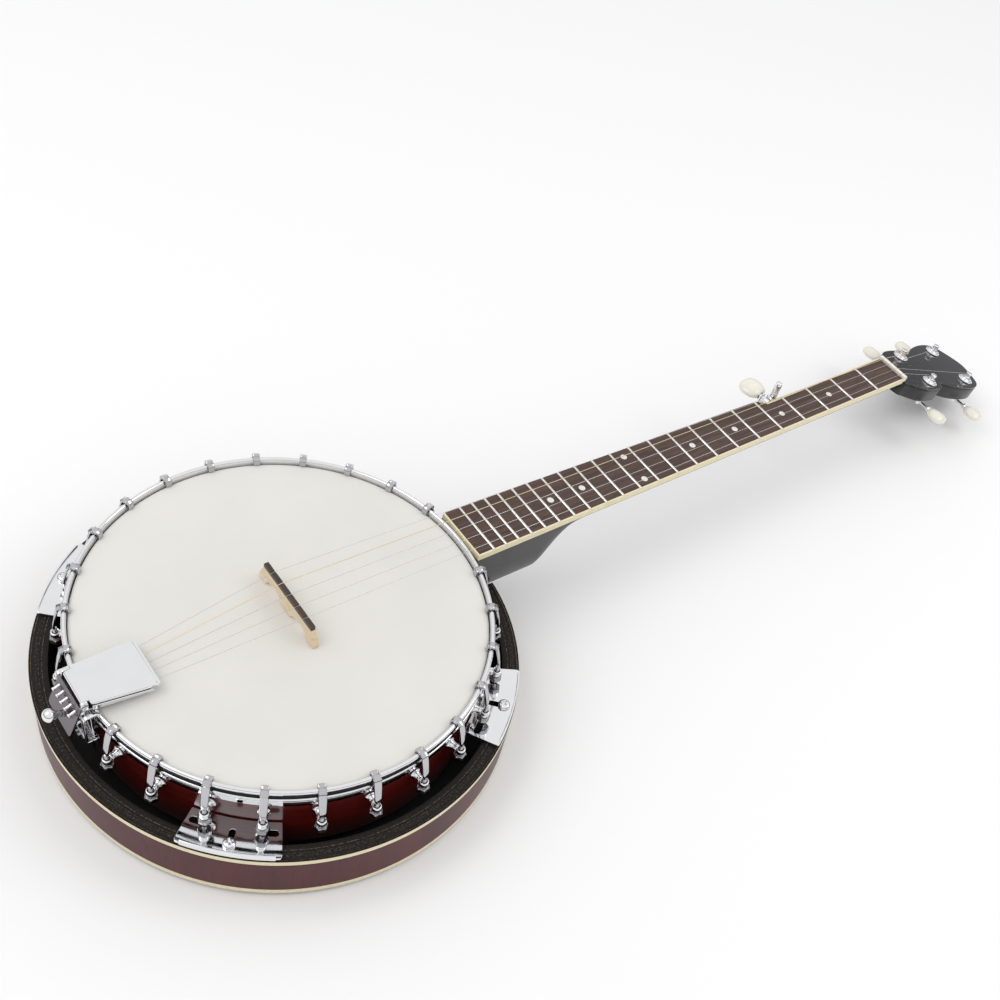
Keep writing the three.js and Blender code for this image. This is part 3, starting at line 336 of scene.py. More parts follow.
def finish(name, clean, hazed, gloss, dull, size=1.0, metal=0.0, relief=2e-6, coat=0.0):
    """A plated, moulded or lacquered finish with haze and fine pitting."""
    made, nodes, links, shader = new_material(name)
    life = nodes.new("ShaderNodeGroup")
    life.node_tree = handled
    life.inputs["Clean"].default_value = (*clean, 1)
    life.inputs["Hazed"].default_value = (*hazed, 1)
    life.inputs["Gloss"].default_value = gloss
    life.inputs["Dull"].default_value = dull
    life.inputs["Size"].default_value = size
    links.new(life.outputs["Color"], shader.inputs["Base Color"])
    links.new(life.outputs["Roughness"], shader.inputs["Roughness"])
    bumped(nodes, links, shader, life.outputs["Height"], relief)
    shader.inputs["Metallic"].default_value = metal
    shader.inputs["Coat Weight"].default_value = coat
    shader.inputs["Coat Roughness"].default_value = 0.04
    return made


def wooden(name, stretch, light, dark, pore, rough, coat, relief=1e-5, specular=0.5):
    """Grained wood under a clear coat of the given weight."""
    made, nodes, links, shader = new_material(name)
    wood = nodes.new("ShaderNodeGroup")
    wood.node_tree = grain
    wood.inputs["Stretch"].default_value = stretch
    wood.inputs["Light"].default_value = (*light, 1)
    wood.inputs["Dark"].default_value = (*dark, 1)
    wood.inputs["Pore"].default_value = (*pore, 1)
    links.new(wood.outputs["Color"], shader.inputs["Base Color"])
    bumped(nodes, links, shader, wood.outputs["Height"], relief, 0.3)
    shader.inputs["Roughness"].default_value = rough
    shader.inputs["Specular IOR Level"].default_value = specular
    shader.inputs["Coat Weight"].default_value = coat
    shader.inputs["Coat Roughness"].default_value = 0.05
    return made


GAP = 0.3
HEAD_RADIUS = 139.3
PAN_RADIUS = 167.3
PAN_INSIDE = 155.3
PAN_TOP = 46.7
STRIP = 1.6                 # cream strips, thickness
STRIP_HEIGHT = 4.5
CROWN = 3.7                 # rise of the arched back's edge
BACK = 5.0                  # back, thickness
BACK_EDGE = 165.4
VENEERED = PAN_RADIUS - 0.05
REBATE = PAN_RADIUS - STRIP - 0.1
LACQUER_SPECULAR = 0.2

maroon = wooden("maroon_veneer", (45, 45, 6), (0.094, 0.014, 0.019), (0.060, 0.008, 0.012),
                (0.045, 0.006, 0.009), 0.38, 0.05, 4e-6, LACQUER_SPECULAR)
maroon_back = wooden("maroon_back_veneer", (7, 60, 60), (0.098, 0.014, 0.019), (0.060, 0.008, 0.012),
                     (0.045, 0.006, 0.009), 0.38, 0.05, 4e-6, LACQUER_SPECULAR)
# Near-black stained wood: the real black stain inside the resonator, and also painted shade in the pot's gaps
# and under the tailpiece cover.
black_stain_and_painted_shade = wooden("black_stain_and_painted_shade", (60, 60, 60), (0.010, 0.009, 0.009), (0.005, 0.005, 0.005),
                     (0.003, 0.003, 0.003), 0.6, 0.0, 1e-5)
cream = finish("cream_celluloid", (0.86, 0.78, 0.55), (0.80, 0.70, 0.44), 0.22, 0.36, 2.0, relief=4e-6)

FLAT_MIDDLE = 128
back_profile = np.array([
    [0.5, 0], [60, 0], [FLAT_MIDDLE, 0], [140, 0.35], [152, 1.5], [161, 2.9],
    [BACK_EDGE - 0.3, CROWN + 0.1], [BACK_EDGE, CROWN + 0.6], [BACK_EDGE, CROWN + BACK - 0.3],
    [BACK_EDGE - 0.3, CROWN + BACK], [FLAT_MIDDLE, BACK], [0.5, BACK],
]) * MM
pan_back = piece("resonator_back_veneered", [skin(turned(back_profile))], maroon_back,
                 replaces=["resonator_back"])


def painted(made, material, chosen):
    """A second material on the faces whose middles (radius, height) and outward slopes (radial, upward)
    the given test picks."""
    made.data.materials.append(material)
    centres = np.zeros(len(made.data.polygons) * 3)
    normals = np.zeros(len(made.data.polygons) * 3)
    made.data.polygons.foreach_get("center", centres)
    made.data.polygons.foreach_get("normal", normals)
    centres, normals = centres.reshape(-1, 3), normals.reshape(-1, 3)
    radius = np.linalg.norm(centres[:, :2], axis=1)
    radial = (centres[:, :2] * normals[:, :2]).sum(1) / radius
    picked = chosen(radius, centres[:, 2], radial, normals[:, 2])
    made.data.polygons.foreach_set("material_index", picked.astype(np.int32))


painted(pan_back, black_stain_and_painted_shade, lambda radius, height, radial, upward: upward > 0.3)

# The side wall is notched at the top for the heel.  Its outside is veneered; its top edge is raw
# laminations, stained black-brown, and its inside is painted black.
HEEL_HALF = 21.0
side_opening = math.degrees(math.asin(HEEL_HALF / 160))
HEEL_SEAT = 35.7
lower_course = np.array([
    [PAN_INSIDE, CROWN + BACK + GAP],
    [165.7, CROWN + BACK + GAP],
    [165.7, CROWN + STRIP_HEIGHT + GAP + 2],
    [VENEERED, CROWN + STRIP_HEIGHT + GAP],
    [VENEERED, HEEL_SEAT],
    [PAN_INSIDE, HEEL_SEAT],
]) * MM
upper_course = np.array([
    [PAN_INSIDE, HEEL_SEAT],
    [VENEERED, HEEL_SEAT],
    [VENEERED, PAN_TOP - STRIP_HEIGHT - GAP],
    [REBATE, PAN_TOP - STRIP_HEIGHT - GAP],
    [REBATE, PAN_TOP],
    [PAN_INSIDE, PAN_TOP],
]) * MM
wall = piece(
    "resonator_side_wall",
    [skin(turned(lower_course, 256), True),
     skin(swept_round(upper_course, side_opening, 360 - side_opening, 256))],
    maroon, replaces=["resonator_wall"],
)
# The inside of the wall is a lining of its own, so that it can be stained black.
lining_outline = np.array([
    [PAN_INSIDE - 0.15, CROWN + BACK + GAP], [PAN_INSIDE + 0.1, CROWN + BACK + GAP],
    [PAN_INSIDE + 0.1, HEEL_SEAT], [PAN_INSIDE - 0.15, HEEL_SEAT],
]) * MM
lining_high = lining_outline + np.array([[0, HEEL_SEAT - CROWN - BACK - GAP]] * 2
                                        + [[0, PAN_TOP - 0.2 - HEEL_SEAT]] * 2) * MM
piece("resonator_wall_lining",
      [skin(turned(lining_outline, 256), True),
       skin(swept_round(lining_high, side_opening, 360 - side_opening, 256))],
      black_stain_and_painted_shade)

laminated, nodes, links, shader = new_material("blackened_laminations")
place = nodes.new("ShaderNodeTexCoord").outputs["Object"]
flat = nodes.new("ShaderNodeVectorMath")
flat.operation = "MULTIPLY"
flat.inputs[1].default_value = (1, 1, 0)
links.new(place, flat.inputs[0])
radius = nodes.new("ShaderNodeVectorMath")
radius.operation = "LENGTH"
links.new(flat.outputs[0], radius.inputs[0])
plies = noise(nodes, 1300, 1)
plies.noise_dimensions = "1D"
links.new(radius.outputs["Value"], plies.inputs["W"])
flecks = noise(nodes, 620, 3, 0.75)
links.new(place, flecks.inputs["Vector"])
together = nodes.new("ShaderNodeMath")
together.operation = "MULTIPLY"
links.new(plies.outputs[0], together.inputs[0])
links.new(flecks.outputs[0], together.inputs[1])
stain = nodes.new("ShaderNodeValToRGB")
stain.color_ramp.elements[0].position = 0.20
stain.color_ramp.elements[0].color = (0.012, 0.010, 0.009, 1)
stain.color_ramp.elements[1].position = 0.43
stain.color_ramp.elements[1].color = (0.19, 0.15, 0.115, 1)
stain.color_ramp.elements.new(0.34).color = (0.030, 0.024, 0.020, 1)
links.new(together.outputs[0], stain.inputs[0])
links.new(stain.outputs[0], shader.inputs["Base Color"])
bumped(nodes, links, shader, together.outputs[0], 6e-5, 0.5)
shader.inputs["Roughness"].default_value = 0.7
shader.inputs["Specular IOR Level"].default_value = 0.2
painted(wall, laminated, lambda radius, height, radial, upward: (upward > 0.3) & (height > 0.04))

strip_low = eased(np.array([
    [PAN_RADIUS - STRIP, CROWN], [PAN_RADIUS, CROWN],
    [PAN_RADIUS, CROWN + STRIP_HEIGHT], [PAN_RADIUS - STRIP, CROWN + STRIP_HEIGHT],
]) * MM, 0.4 * MM)
piece("resonator_lower_strip", [skin(turned(strip_low), True)], cream,
      replaces=["binding_lower"])
strip_high = strip_low + np.array([0, (PAN_TOP - STRIP_HEIGHT - CROWN) * MM])
strip = piece("resonator_upper_strip",
              [skin(swept_round(strip_high, side_opening, 360 - side_opening, 256))],
              cream, replaces=["binding_upper"])
painted(strip, laminated, lambda radius, height, radial, upward: upward > 0.8)

# ---- pot: rim, tone ring, head and tension hoop ----------------------------------------
# The rim is a ring of laminated mahogany under thick red-brown lacquer.  A cast ring sits on it,
# the frosted film head is drawn over that, and a bright plated hoop pulls the head down.
HEAD_Z = 85.0
RIM_INSIDE = 120.3
RIM_FOOT, RIM_TOP = 21.0, 70.0
SKIRT_INSIDE = 137.4
HOOP_INSIDE, HOOP_OUTSIDE = 139.7, 142.9
mahogany = wooden("red_mahogany", (8, 8, 260), (0.125, 0.010, 0.007), (0.060, 0.004, 0.003),
                  (0.030, 0.003, 0.002), 0.28, 1.0, 4e-6)
chrome = finish("chrome_plate", (0.88, 0.885, 0.90), (0.82, 0.825, 0.84), 0.035, 0.085, 1.5, metal=1.0,
                relief=3e-7)
rim_outline = eased(np.array([
    [RIM_INSIDE, RIM_FOOT], [HEAD_RADIUS, RIM_FOOT], [HEAD_RADIUS, RIM_TOP], [RIM_INSIDE, RIM_TOP],
]) * MM, 1.2 * MM)
piece("mahogany_rim", [skin(turned(rim_outline), True)], mahogany, replaces=["rim"])

# The ring's section: a foot that stands out past the rim, and above it a cone up to the bead that
# the head bears on.
RING_FOOT, RING_STEP, RING_BEAD = RIM_TOP + GAP, 76.3, 84.1
ring_outline = eased(np.array([
    [126.3, RING_FOOT], [141.3, RING_FOOT], [141.3, RING_STEP], [137.3, RING_STEP],
    [137.3, RING_BEAD], [134.3, RING_BEAD], [126.3, RING_STEP],
]) * MM, 0.8 * MM)
ring = piece("cast_tone_ring", [skin(turned(ring_outline), True)], chrome,
             replaces=["tone_ring"])
# The ring's upper outer wall is painted near black: painted shade for the dark gap under the hoop.
painted(ring, black_stain_and_painted_shade, lambda radius, height, radial, upward: (height > 0.0764) & (radius > 0.136))

film, nodes, links, shader = new_material("frosted_film")
place = nodes.new("ShaderNodeTexCoord").outputs["Object"]
frost = noise(nodes, 2600, 2)
mottle = noise(nodes, 14, 4)
links.new(place, frost.inputs["Vector"])
links.new(place, mottle.inputs["Vector"])
tint = nodes.new("ShaderNodeValToRGB")
tint.color_ramp.elements[0].position = 0.30
tint.color_ramp.elements[0].color = (0.745, 0.730, 0.690, 1)
tint.color_ramp.elements[1].position = 0.70
tint.color_ramp.elements[1].color = (0.785, 0.768, 0.730, 1)
links.new(mottle.outputs[0], tint.inputs[0])
links.new(tint.outputs[0], shader.inputs["Base Color"])
bumped(nodes, links, shader, frost.outputs[0], 3e-5, 0.35)
shader.inputs["Roughness"].default_value = 0.62
shader.inputs["Specular IOR Level"].default_value = 0.25
head_outline = np.array([
    [0.5, HEAD_Z - 0.6], [100, HEAD_Z - 0.6], [136.8, HEAD_Z - 0.6], [SKIRT_INSIDE, HEAD_Z - 1.2],
    [SKIRT_INSIDE, HEAD_Z - 5.7], [137.7, HEAD_Z - 6], [139.0, HEAD_Z - 6], [HEAD_RADIUS, HEAD_Z - 5.7],
    [HEAD_RADIUS, HEAD_Z - 2.2], [139.0, HEAD_Z - 1.1], [138.3, HEAD_Z - 0.4], [137.2, HEAD_Z - 0.05],
    [135.5, HEAD_Z], [100, HEAD_Z], [50, HEAD_Z], [0.5, HEAD_Z],
]) * MM
drum = piece("drum_head", [skin(turned(head_outline))], film, replaces=["head"])
# The head's skirt below its crown is painted near black: painted shade in the gap under the hoop.
painted(drum, black_stain_and_painted_shade,
        lambda radius, height, radial, upward: (height < (HEAD_Z - 2.0) * MM) & (radius > 0.1375))

hoop_outline = eased(np.array([
    [HOOP_INSIDE, HEAD_Z - 6.4], [HOOP_OUTSIDE, HEAD_Z - 6.4], [HOOP_OUTSIDE, HEAD_Z - 4.3],
    [140.9, HEAD_Z - 4.0], [140.9, HEAD_Z + 0.3], [HOOP_OUTSIDE, HEAD_Z + 0.8],
    [HOOP_OUTSIDE, HEAD_Z + 3.0], [141.9, HEAD_Z + 4.0], [140.6, HEAD_Z + 4.0],
    [HOOP_INSIDE, HEAD_Z + 3.0],
]) * MM, 0.7 * MM, 4)
hoop = piece("plated_tension_hoop", [skin(turned(hoop_outline, 256), True)], chrome,
             replaces=["tension_hoop"])
# The recess round the hoop's side is painted near black: painted shade in the groove.
painted(hoop, black_stain_and_painted_shade, lambda radius, height, radial, upward:
        (np.abs(height - (HEAD_Z - 1.85) * MM) < 2.3 * MM) & (radius > 0.1405) & (radius < 0.1427))

# ---- brackets: hooks, nuts and shoes ---------------------------------------------------
# Twenty-four pressed steel hooks, chromed, grip the hoop with a ribbed claw; each leg narrows to
# a threaded shank that passes through a cast shoe on the rim and is drawn down by a hex nut.
HOOK_CIRCLE = 149.0
SHANK = 1.6
SHANK_END = 51.1
THREAD_PITCH = 0.8
SHOE_Z = 62.98
NUT_TOP = 58.68
NUT_HEIGHT = 4.5


def strap(path, width, thickness, dome=0.0, corner=0.3):
    """A flat strap through points of an X-Z path.  Its section is a rectangle with eased corners, as
    wide across Y and as thick across the path as asked at each point, and domed on its outer face."""
    path = np.asarray(path, float)
    along = np.gradient(path, axis=0)
    along /= np.linalg.norm(along, axis=1, keepdims=True)
    outer = np.stack([-along[:, 1], along[:, 0]], -1)
    section = eased(np.array([[-1, -1], [1, -1], [1, 1], [-1, 1]], float), corner, 4)
    width = np.broadcast_to(width, len(path))[:, None]
    thickness = np.broadcast_to(thickness, len(path))[:, None]
    across = section[None, :, 0] * width / 2
    lift = section[None, :, 1] * thickness / 2
    lift = lift + np.where(section[None, :, 1] > 0, dome * (1 - section[None, :, 0] ** 2), 0)
    x = path[:, :1] + outer[:, :1] * lift
    z = path[:, 1:] + outer[:, 1:] * lift
    return np.stack([x, np.broadcast_to(across, x.shape), z], -1)


def resampled(path, count):
    """Equal steps along a path of straight stretches."""
    path = np.asarray(path, float)
    run = np.concatenate([[0], np.cumsum(np.linalg.norm(np.diff(path, axis=0), axis=1))])
    step = np.linspace(0, run[-1], count)
    return np.stack([np.interp(step, run, path[:, n]) for n in range(path.shape[1])], -1), step / run[-1]


def upright(profile, x, y, sides=32):
    """A turned shape of [radius, height] on a vertical line."""
    return turned(profile, sides) + np.array([x, y, 0])


claw_path, share = resampled(eased(np.array([
    [138.15, 85.6], [138.15, 90.0], [144.3, 90.3], [147.0, 81.0], [148.9, 72.0], [149.0, 65.5],
]) * MM, 1.9 * MM, 8, closed=False), 72)
claw_width = np.interp(share, [0, 0.10, 0.30, 0.45, 0.80, 0.93, 1], [4.4, 4.8, 4.9, 5.2, 4.8, 3.4, 2.4]) * MM
ribs = sum(np.exp(-(((share - middle) / 0.014) ** 2)) for middle in (0.16, 0.235, 0.31))
claw_width = claw_width + ribs * 0.5 * MM
claw_thickness = np.interp(share, [0, 0.3, 0.8, 1], [1.2, 1.3, 1.5, 1.6]) * MM + ribs * 1.1 * MM
claw = strap(claw_path, claw_width, claw_thickness, dome=0.6 * MM, corner=0.3)

thread_steps = 120
thread_height = np.linspace(SHANK_END, 68.0, thread_steps)[:, None] * MM
thread_angle = circle(20)[None, :]
thread_turns = thread_height / (THREAD_PITCH * MM) + thread_angle / (2 * math.pi)
thread_radius = (SHANK - 0.18 + 0.36 * np.abs(thread_turns % 1 - 0.5)) * MM
thread_radius = thread_radius * np.where(np.arange(thread_steps)[:, None] < 2, 0.8, 1.0)
shank = np.stack([
    HOOK_CIRCLE * MM + thread_radius * np.cos(thread_angle),
    thread_radius * np.sin(thread_angle),
    np.broadcast_to(thread_height, thread_radius.shape),
], -1)


def hexagonal(corner_radius, bottom, top, chamfer):
    """A hex nut: six flats, with both ends chamfered so that the corners fall away."""
    a = circle(72)
    flat = corner_radius * math.cos(math.pi / 6)
    hexagon = flat / np.cos((a + math.pi / 6) % (math.pi / 3) - math.pi / 6)
    end = np.minimum(hexagon, corner_radius - chamfer)
    rings = [(end * 0.35, bottom), (end * 0.97, bottom), (end, bottom + chamfer * 0.15),
             (hexagon, bottom + chamfer), (hexagon, top - chamfer), (end, top - chamfer * 0.15),
             (end * 0.97, top), (end * 0.35, top)]
    r = np.array([ring[0] for ring in rings])
    z = np.array([ring[1] for ring in rings])[:, None]
    return np.stack(np.broadcast_arrays(r * np.cos(a), r * np.sin(a), z), -1)


nut = hexagonal(4.7 * MM, (NUT_TOP - NUT_HEIGHT) * MM, NUT_TOP * MM, 0.7 * MM)
nut = nut + np.array([HOOK_CIRCLE * MM, 0, 0])
barrel = upright(eased(np.array([
    [2.0, SHOE_Z - 4.0], [3.0, SHOE_Z - 4.0], [3.3, SHOE_Z - 3.4], [3.3, SHOE_Z + 0.4], [3.0, SHOE_Z + 1.0],
    [2.0, SHOE_Z + 1.0],
]) * MM, 0.5 * MM, 4), HOOK_CIRCLE * MM, 0, 40)
boss_profile = eased(np.array([
    [0.2, 0], [4.4, 0], [4.4, 1.2], [3.2, 1.9], [2.6, 4.2], [2.8, 6.9], [0.2, 7.4],
]) * MM, 0.5 * MM, 4, closed=False)
outward = (Matrix.Translation((139.55 * MM, 0, (SHOE_Z - 1.4) * MM))
           @ Matrix.Rotation(math.radians(90), 4, "Y"))
boss = placed(skin(turned(boss_profile, 40)), outward)

hook_chrome = finish("pressed_hook_chrome", (0.58, 0.58, 0.60), (0.50, 0.50, 0.52), 0.05, 0.10, 1.5,
                     metal=1.0, relief=3e-7)
nut_chrome = finish("turned_nut_chrome", (0.42, 0.42, 0.43), (0.34, 0.34, 0.35), 0.14, 0.24, 1.5,
                    metal=1.0, relief=1e-6)
HOOK_STEP = 180 / 13        # 24 hooks: none stands over the neck or at the tailpiece
hook_angles = [HOOK_STEP * place for place in range(1, 26) if place != 13]
for number, angle in enumerate(hook_angles, 1):
    round_z = Matrix.Rotation(math.radians(angle), 4, "Z")
    hook_parts = [placed(skin(claw), round_z), placed(skin(shank), round_z)]
    piece(f"bracket_hook_{number:02d}", hook_parts, hook_chrome,
          replaces=["bracket_hooks"])
    piece(f"hook_nut_{number:02d}", [placed(skin(nut), round_z)], nut_chrome, sharp=20)
    shoe_parts = [placed(skin(barrel, True), round_z), placed(boss, round_z)]
    piece(f"bracket_shoe_{number:02d}", shoe_parts, chrome,
          replaces=["bracket_shoes"])

# ---- flange plates ---------------------------------------------------------------------
# Four pressed and chromed plates close the gap between pot and resonator.  Each has a turned-up
# outer lip, a keyhole for its screw and a slot at each side for a hook, and the screw is domed.


def flat_part(outlines, thickness, bevel):
    """A flat plate through closed outlines, the first the edge and the rest holes, with eased edges.
    Gives its points and faces, lying in X-Y and centred on Z."""
    curve = bpy.data.curves.new("outline", "CURVE")
    curve.dimensions = "2D"
    curve.fill_mode = "BOTH"
    curve.extrude = thickness / 2 - bevel
    curve.bevel_depth = bevel
    curve.bevel_resolution = 2
    curve.offset = -bevel
    for outline in outlines:
        spline = curve.splines.new("POLY")
        spline.points.add(len(outline) - 1)
        spline.points.foreach_set("co", np.c_[outline, np.zeros(len(outline)), np.ones(len(outline))].ravel())
        spline.use_cyclic_u = True
    holder = bpy.data.objects.new("outline", curve)
    bpy.context.scene.collection.objects.link(holder)
    bpy.context.view_layer.update()
    mesh = bpy.data.meshes.new_from_object(holder.evaluated_get(bpy.context.evaluated_depsgraph_get()))
    points = np.zeros(len(mesh.vertices) * 3)
    mesh.vertices.foreach_get("co", points)
    points = points.reshape(-1, 3)
    faces = [list(face.vertices) for face in mesh.polygons]
    bpy.data.objects.remove(holder)
    bpy.data.curves.remove(curve)
    bpy.data.meshes.remove(mesh)
    return points, facing_out(points, faces)


def polar(radius, degrees):
    """Points at radii and angles in a plane."""
    a = np.radians(degrees)
    return np.stack(np.broadcast_arrays(radius * np.cos(a), radius * np.sin(a)), -1)


def long_hole(start, end, radius, count=12):
    """A slot's outline from one centre to another, both with round ends."""
    start, end = np.asarray(start, float), np.asarray(end, float)
    heading = math.atan2(*(end - start)[::-1])
    a = np.linspace(-math.pi / 2, math.pi / 2, count)
    front = end + radius * np.stack([np.cos(a + heading), np.sin(a + heading)], -1)
    rear = start - radius * np.stack([np.cos(a + heading), np.sin(a + heading)], -1)
    return np.concatenate([front, rear])


PLATE_HALF = 11.7           # degrees
PLATE_LOW = PAN_TOP + GAP
PLATE = 1.6
PLATE_PITCH = -5.0          # degrees, outer edge raised
PLATE_IN, PLATE_OUT = 140.2, 166.9
SCREW_CIRCLE = 159.5
sweep = np.linspace(-PLATE_HALF, PLATE_HALF, 25)
plate_edge = np.concatenate([polar(PLATE_OUT * MM, sweep), polar(PLATE_IN * MM, sweep[::-1])])
rounding = np.zeros(len(plate_edge))
rounding[[0, 24]] = 3.5 * MM
rounding[[25, 49]] = 1.0 * MM
plate_edge[[1, 23]] = polar(PLATE_OUT * MM, np.array([-PLATE_HALF + 1.3, PLATE_HALF - 1.3]))
plate_edge = eased(plate_edge, np.maximum(rounding, 1e-5), 5)
keyhole = long_hole((150.5 * MM, 0), (SCREW_CIRCLE * MM, 0), 2.1 * MM)
side_holes = [
    long_hole(polar(148.6 * MM, side * 7.0), polar(148.6 * MM, side * 10.0), 2.3 * MM)
    for side in (-1, 1)
]
plate_sheet = flat_part([plate_edge, keyhole, *side_holes], PLATE * MM, 0.3 * MM)
plate_sheet = (plate_sheet[0] + np.array([0, 0, (PLATE_LOW + PLATE / 2) * MM]), plate_sheet[1])
lip_outline = eased(np.array([
    [PLATE_OUT - 1.5, PLATE_LOW - 1.5], [PLATE_OUT, PLATE_LOW - 1.5],
    [PLATE_OUT, PLATE_LOW + PLATE + 2.0], [PLATE_OUT - 1.3, PLATE_LOW + PLATE + 2.0],
]) * MM, 0.6 * MM)
lip = skin(swept_round(lip_outline, -PLATE_HALF + 1.4, PLATE_HALF - 1.4, 32))
tab_outline = eased(np.array([
    [140.2, PLATE_LOW - 9], [141.6, PLATE_LOW - 9], [141.6, PLATE_LOW + 1], [140.2, PLATE_LOW + 1],
]) * MM, 0.4 * MM)
tab = skin(swept_round(tab_outline, -9.5, 9.5, 32))

screw_seat = PLATE_LOW + PLATE + 0.1
steps = np.linspace(0, 1, 40)[:, None]
a = circle(64)[None, :]
head_radius = 4.2 * np.sin(steps * math.pi / 2) ** 0.9
dome = screw_seat + 1.2 + 2.1 * np.cos(steps * math.pi / 2) ** 0.8
x, y = head_radius * np.cos(a), head_radius * np.sin(a)
near, far = np.minimum(np.abs(x), np.abs(y)), np.maximum(np.abs(x), np.abs(y))
arm = np.exp(-((near / 0.6) ** 6)) * (far < 2.5)
z = np.broadcast_to(dome, x.shape) - 1.5 * arm * (1 - head_radius / 4.6)
screw_top = np.stack([x, y, z], -1)[1:]
under = np.array([[4.2, screw_seat + 0.2], [1.8, screw_seat - 0.01], [1.8, 33.5], [0.2, 33.0]])
screw_rows = np.concatenate([screw_top, turned(under, 64)]) * MM
lean = (Matrix.Translation((PLATE_IN * MM, 0, PLATE_LOW * MM))
        @ Matrix.Rotation(math.radians(PLATE_PITCH), 4, "Y")
        @ Matrix.Translation((-PLATE_IN * MM, 0, -PLATE_LOW * MM)))
for number, place in enumerate((3.5, 9.5, 16.5, 22.5), 1):
    angle = HOOK_STEP * place
    round_z = Matrix.Rotation(math.radians(angle), 4, "Z") @ lean
    parts = [placed(part, round_z) for part in (plate_sheet, lip, tab)]
    piece(f"pressed_flange_plate_{number}", parts, chrome,
          replaces=[f"flange_plate_{number}"], sharp=25)
    outward = Matrix.Translation((SCREW_CIRCLE * MM, 0, 0))
    turned_screw = Matrix.Rotation(math.radians(20 + 31 * number), 4, "Z")
    piece(f"domed_plate_screw_{number}",
          [placed(skin(screw_rows), round_z @ outward @ turned_screw)], chrome,
          replaces=[f"plate_screw_{number}"])

# ---- rods and bolts through the pot ----------------------------------------------------
# A threaded steel rod braces the rim and pulls on the heel's lag bolt; another bolt holds the
# tailpiece hanger.  All are plain zinc-plated steel, dulled inside the pot.
zinc = finish("zinc_plate", (0.60, 0.60, 0.58), (0.44, 0.43, 0.40), 0.24, 0.42, 2.0, metal=1.0, relief=3e-6)


def dressed(name, material):
    """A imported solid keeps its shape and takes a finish."""
    for holder in solids[name].material_slots:
        holder.material = material


for name in ("neck_bolt", "coordinator_rod", "hanger_bolt", "truss_rod", "tailpiece_pin"):
    dressed(name, zinc)

# ---- neck and heel ---------------------------------------------------------------------
# Carved from one length of hard maple and sprayed satin black: a shaft of softened V section that
# deepens and rounds into the heel, whose end is cut to fit round the pot.
NECK_START, NECK_HEIGHT = 143.8, 90.15
NECK_LEAN = math.radians(1.98)
NECK = (Matrix.Translation((NECK_START * MM, 0, NECK_HEIGHT * MM)) @ Matrix.Rotation(NECK_LEAN, 4, "Y")
        @ Matrix.Scale(MM, 4))
SCALE = 666.75              # string length, nut to bridge
BOARD = SCALE * (1 - 2 ** (-22 / 12)) + 14.1
NUT_HALF = 16.6
DRONE_HALF = 16.1
NUT_THICKNESS = 5.3         # with its glue gap
HEADSTOCK_LEAN = math.radians(13.85)
NECK_TOP = -5.3
SHAFT_DEPTH = 16
HEEL_DEPTH = 48.2


def fret_place(fret):
    """Along the neck, a fret's middle: each fret shortens the string by a twelfth root of two."""
    return BOARD - SCALE * (1 - 2 ** (-fret / 12))


def smooth(value, low, high):
    """0 below low, 1 above high, and an S between them."""
    t = np.clip((value - low) / (high - low), 0, 1)
    return t * t * (3 - 2 * t)


def treble_half(x):
    """Half width on the thin-string side: a straight taper."""
    return NUT_HALF + 6.8 * (BOARD - x) / BOARD


def beside_drone(x):
    """Half width on the drone side beyond the fifth fret: a straight taper to the nut."""
    return DRONE_HALF - 3.1 * (BOARD - x) / (BOARD - fret_place(5))


def bass_half(x):
    """Half width on the drone side: narrower beyond the fifth fret."""
    t = smooth(x, fret_place(5) + 2, fret_place(5) + 11)
    return treble_half(x) * (1 - t) + beside_drone(x) * t


def carved(x, top, depth, power, waist):
    """Half sections: across goes as cos^p of an angle, down as sin^p, pinched by a waist.  A power of
    1 is an oval, 2 a plain V, and under 1 a rounded box."""
    a = np.linspace(0, math.pi, 44)[None, :]
    c, s = np.cos(a), np.sin(a)
    x, top, depth, power, waist = (np.reshape(value, (-1, 1)) for value in (x, top, depth, power, waist))
    half = np.where(c > 0, treble_half(x), bass_half(x))
    y = -np.sign(c) * half * np.abs(c) ** power * (1 - waist * s)
    z = top - depth * s**power
    return np.stack(np.broadcast_arrays(x, y, z), -1)


neck_x = np.concatenate([[0.0], np.linspace(5, 130, 60), np.linspace(134, fret_place(5) - 2, 26),
                         np.linspace(fret_place(5), fret_place(5) + 13, 20),
                         np.linspace(fret_place(5) + 18, BOARD + 5.2, 24)])
shaft_depth = SHAFT_DEPTH + 2.5 * (BOARD - neck_x) / BOARD
depth = shaft_depth + (HEEL_DEPTH - shaft_depth) * (1 - smooth(neck_x, 64, 122)) ** 2
heel_share = np.clip((depth - 20) / (HEEL_DEPTH - 20), 0, 1)
neck_rows = carved(neck_x, np.full(len(neck_x), NECK_TOP), depth, 1.7 - 1.32 * heel_share,
                   0.16 * heel_share)
# The heel's end follows the pot: X = sqrt(R^2 - Y^2), with R wider at the ring and the hoop.
end_height = NECK_HEIGHT + neck_rows[0, :, 2]
pot_radius = 139.8 + 2.0 * (end_height > 69) + 1.8 * (end_height > 76.8)
neck_rows[0, :, 0] = (np.sqrt(pot_radius**2 - neck_rows[0, :, 1] ** 2) - NECK_START
                      - neck_rows[0, :, 2] * math.sin(NECK_LEAN))
throat_x = np.linspace(BOARD + NUT_THICKNESS, BOARD + 34, 10)
throat_run = throat_x - BOARD - NUT_THICKNESS
throat_top = -7.4 - throat_run * math.tan(HEADSTOCK_LEAN)
throat = carved(throat_x, throat_top, 21.3 + throat_run * 0.19 + throat_top,
                np.linspace(1.7, 1.0, 10), np.zeros(10))
satin_black = finish("satin_black_lacquer", (0.010, 0.010, 0.011), (0.014, 0.014, 0.015), 0.28, 0.36, 1.2,
                     relief=1e-6, coat=0.15)
piece("carved_neck", [placed(skin(neck_rows), NECK), placed(skin(throat), NECK)], satin_black,
      replaces=["neck"], sharp=50)

